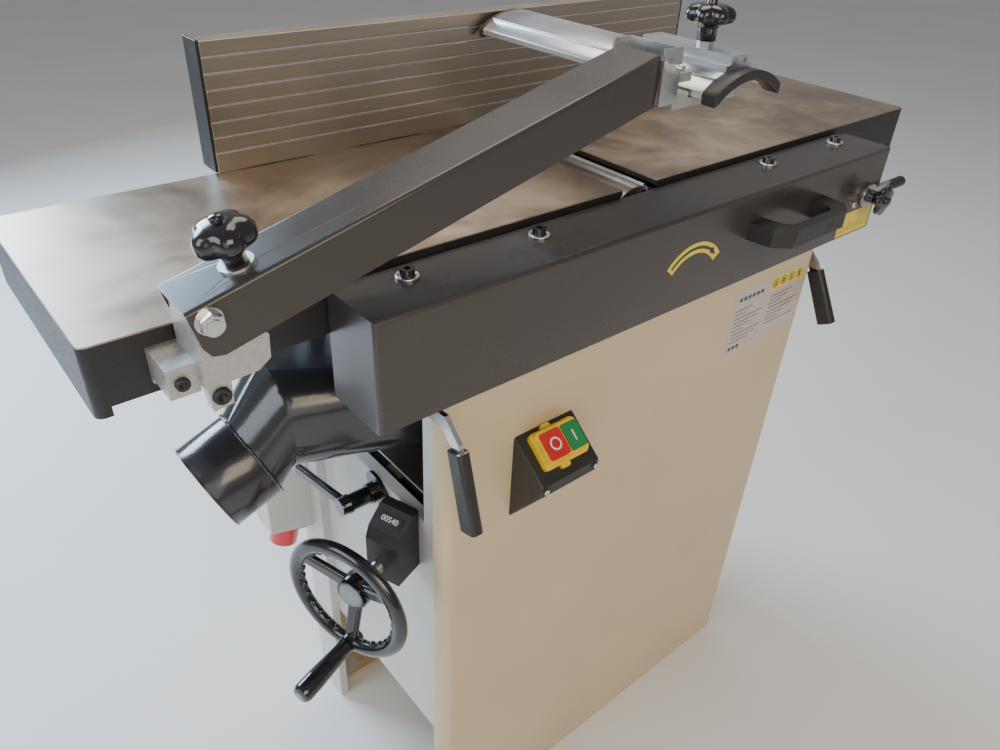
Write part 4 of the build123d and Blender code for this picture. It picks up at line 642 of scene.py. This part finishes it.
def soft_knob(name, node, origin, axis, radius, neck, neck_height, height, lobes):
    """Smooth lobed knob on a narrow neck, in place of the plainer CAD node."""
    axis, side, other = directions(axis)
    body_height = height - neck_height
    rows = [(neck, 0.0, 0.0), (neck, neck_height * 0.7, 0.0), (neck * 1.15, neck_height, 0.02)]
    for share, width, depth in KNOB_ROWS:
        rows.append((radius * width, neck_height + body_height * share, depth))
    steps = lobes * 12
    bm = bmesh.new()
    loops = []
    for width, run, depth in rows:
        loop = []
        for i in range(steps):
            a = 2 * pi * i / steps
            dip = depth * (0.5 - 0.5 * cos(lobes * a)) ** 1.6
            outward = (side * cos(a) + other * sin(a)) * width * (1.0 - dip)
            loop.append(bm.verts.new(Vector(origin) + axis * run + outward))
        loops.append(loop)
    for near, far in zip(loops, loops[1:]):
        for i in range(steps):
            j = (i + 1) % steps
            bm.faces.new((near[i], near[j], far[j], far[i]))
    bm.faces.new(loops[-1])
    bm.faces.new(loops[0][::-1])
    piece = make_piece(name, bm, "gloss_black", BODY_OF[node], smooth=True)
    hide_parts(node)
    top = Vector(origin) + axis * height
    boss = [(0.0052, -0.002), (0.0052, 0.0030), (0.0044, 0.0040), (0.0, 0.0042)]
    lathe(name + "_boss", top, axis, boss, "gloss_black", BODY_OF[node], 6)


ARM_TILT = radians(14.5)
ARM_NORMAL = Vector((-sin(ARM_TILT), 0, cos(ARM_TILT)))
arm_washer_top = ARM_SEAT + ARM_NORMAL * 0.0023
rail_washer_top = (0.033, -0.158, 1.0003)
soft_knob("arm_hand_knob", "arm_knob", arm_washer_top, ARM_NORMAL, 0.0230, 0.0085, 0.010, 0.0325, 5)
soft_knob("guard_hand_knob", "guard_knob", rail_washer_top, UP, 0.0240, 0.0090, 0.014, 0.032, 7)
knob_low, knob_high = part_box("depth_lock_knob")
knob_centre = (knob_low + knob_high) / 2
knob_base = (knob_centre.x, knob_high.y, knob_centre.z)
knob_r = (knob_high.x - knob_low.x) / 2
knob_height = knob_high.y - knob_low.y - 0.004
soft_knob("depth_hand_knob", "depth_lock_knob", knob_base, TO_FRONT, knob_r, 0.0085, 0.006, knob_height, 7)

# ---------------------------------------------------------------- port beads, screws and washers
PORT_TILT = radians(22.0)
PORT_AXIS = Vector((-cos(PORT_TILT), 0, -sin(PORT_TILT)))
PORT_END = Vector((-0.454, 0.0, 0.587))
PORT_ROOT = PORT_END - PORT_AXIS * 0.0553
PORT_LIP = PORT_END - PORT_AXIS * 0.0014
tube_ring("port_weld", PORT_ROOT, PORT_AXIS, 0.0500, 0.0018, "hood_gloss", "cabinet", 0.0004)
tube_ring("port_rolled_edge", PORT_LIP, PORT_AXIS, 0.0492, 0.0012, "hood_gloss", "cabinet")


def socket_screw(name, place, radius, socket):
    """Socket-head screw with a chamfered cap and a round recess, facing the operator."""
    height, bottom = 0.0035, 0.0035 * 0.35
    profile = [(radius, -0.001), (radius, height - 0.0008), (radius - 0.0008, height)]
    profile += [(socket, height), (socket * 0.92, bottom), (0.0, bottom)]
    lathe(name, place, TO_FRONT, profile, "casting_paint", "tables", 28)


socket_screw("bracket_screw_front", (-0.4797, -0.1812, 0.8185), 0.0066, 0.0032)
socket_screw("bracket_screw_side", (-0.5013, -0.1705, 0.831), 0.0052, 0.0026)
washer = [(0.0102, -0.001), (0.0104, 0.0002), (0.0098, 0.0008), (0.0068, 0.0008), (0.0066, 0.0002)]
for index, x in enumerate((-0.307, -0.163, 0.192, 0.334)):
    lathe(f"bolt_washer_{index}", (x, -0.157, 0.852), UP, washer, "zinc", "tables", 36)
BOLT_HEAD_LOW = 0.8527
ARM_PIVOT_X = -0.4
coat_faces("table_bolts", "gloss_black", lambda c, n: c.z > BOLT_HEAD_LOW and c.x > ARM_PIVOT_X)
stud = [(0.0042, -0.001), (0.0044, 0.0022), (0.0036, 0.0036), (0.0018, 0.0042), (0.0, 0.0043)]
lathe("beam_stud", (0.3255, -0.2068, 0.788), TO_FRONT, stud, "steel", "tables", 28)

# ---------------------------------------------------------------- floor, light and camera
FLOOR_SIZE = 9.0
FLOOR_DROP = 0.0006
floor_bm = bmesh.new()
below = Matrix.Translation(UP * -FLOOR_DROP)
bmesh.ops.create_grid(floor_bm, x_segments=2, y_segments=2, size=FLOOR_SIZE, matrix=below)
floor_mesh = bpy.data.meshes.new("floor")
floor_bm.to_mesh(floor_mesh)
floor_bm.free()
pale = Material("pale_floor", specular=0.2)
floor_tint = pale.ramp(pale.noise(2.0), (0.3, (0.80, 0.80, 0.80)), (0.7, (0.84, 0.84, 0.84)))
floor_mesh.materials.append(pale.finish(floor_tint, pale.between(pale.noise(6.0), 0.6, 0.8)))
floor = bpy.data.objects.new("floor", floor_mesh)
bpy.context.scene.collection.objects.link(floor)


def area_light(name, place, aim, size, power, colour):
    """Rectangular soft light at a place, turned towards a point."""
    light = bpy.data.lights.new(name, "AREA")
    light.shape = "RECTANGLE"
    light.size, light.size_y = size
    light.energy = power
    light.color = colour
    holder = bpy.data.objects.new(name, light)
    holder.location = place
    holder.rotation_euler = (Vector(aim) - Vector(place)).to_track_quat("-Z", "Y").to_euler()
    bpy.context.scene.collection.objects.link(holder)


area_light("cool_window", (-0.9, 2.3, 1.65), (-0.45, 0.0, 0.86), (1.5, 1.1), 105.0, (0.60, 0.79, 1.0))
area_light("left_daylight", (-2.7, 0.1, 1.7), (0.0, 0.0, 0.6), (1.6, 1.6), 34.0, (0.84, 0.92, 1.0))
area_light("warm_room", (-0.7, -2.7, 2.2), (0.0, -0.1, 0.6), (1.8, 1.4), 46.0, (1.0, 0.84, 0.62))
area_light("ceiling", (0.7, 0.9, 3.0), (0.2, 0.0, 0.8), (1.8, 1.6), 34.0, (1.0, 0.90, 0.76))
area_light("near_fill", (-1.7, -1.9, 1.2), (-0.1, -0.1, 0.5), (1.4, 1.4), 8.0, (1.0, 0.95, 0.90))

world = bpy.data.worlds.new("room")
world.use_nodes = True
background = world.node_tree.nodes["Background"]
background.inputs["Color"].default_value = (0.93, 0.94, 0.96, 1.0)
background.inputs["Strength"].default_value = 0.30
bpy.context.scene.world = world

camera = bpy.data.cameras.new("camera")
camera.sensor_width = 36.0
camera.lens = 28.68
camera_place = bpy.data.objects.new("camera", camera)
camera_place.location = (-0.6286, -0.6471, 1.1497)
CAMERA_YAW = radians(41.05)
CAMERA_PITCH = radians(-33.95)
CAMERA_ROLL = radians(2.86)
level_reach = cos(CAMERA_PITCH)
forward = Vector((sin(CAMERA_YAW) * level_reach, cos(CAMERA_YAW) * level_reach, sin(CAMERA_PITCH)))
camera_place.rotation_mode = "QUATERNION"
level = forward.to_track_quat("-Z", "Y")
camera_place.rotation_quaternion = level @ Quaternion((0, 0, 1), CAMERA_ROLL)
bpy.context.scene.collection.objects.link(camera_place)
bpy.context.scene.camera = camera_place
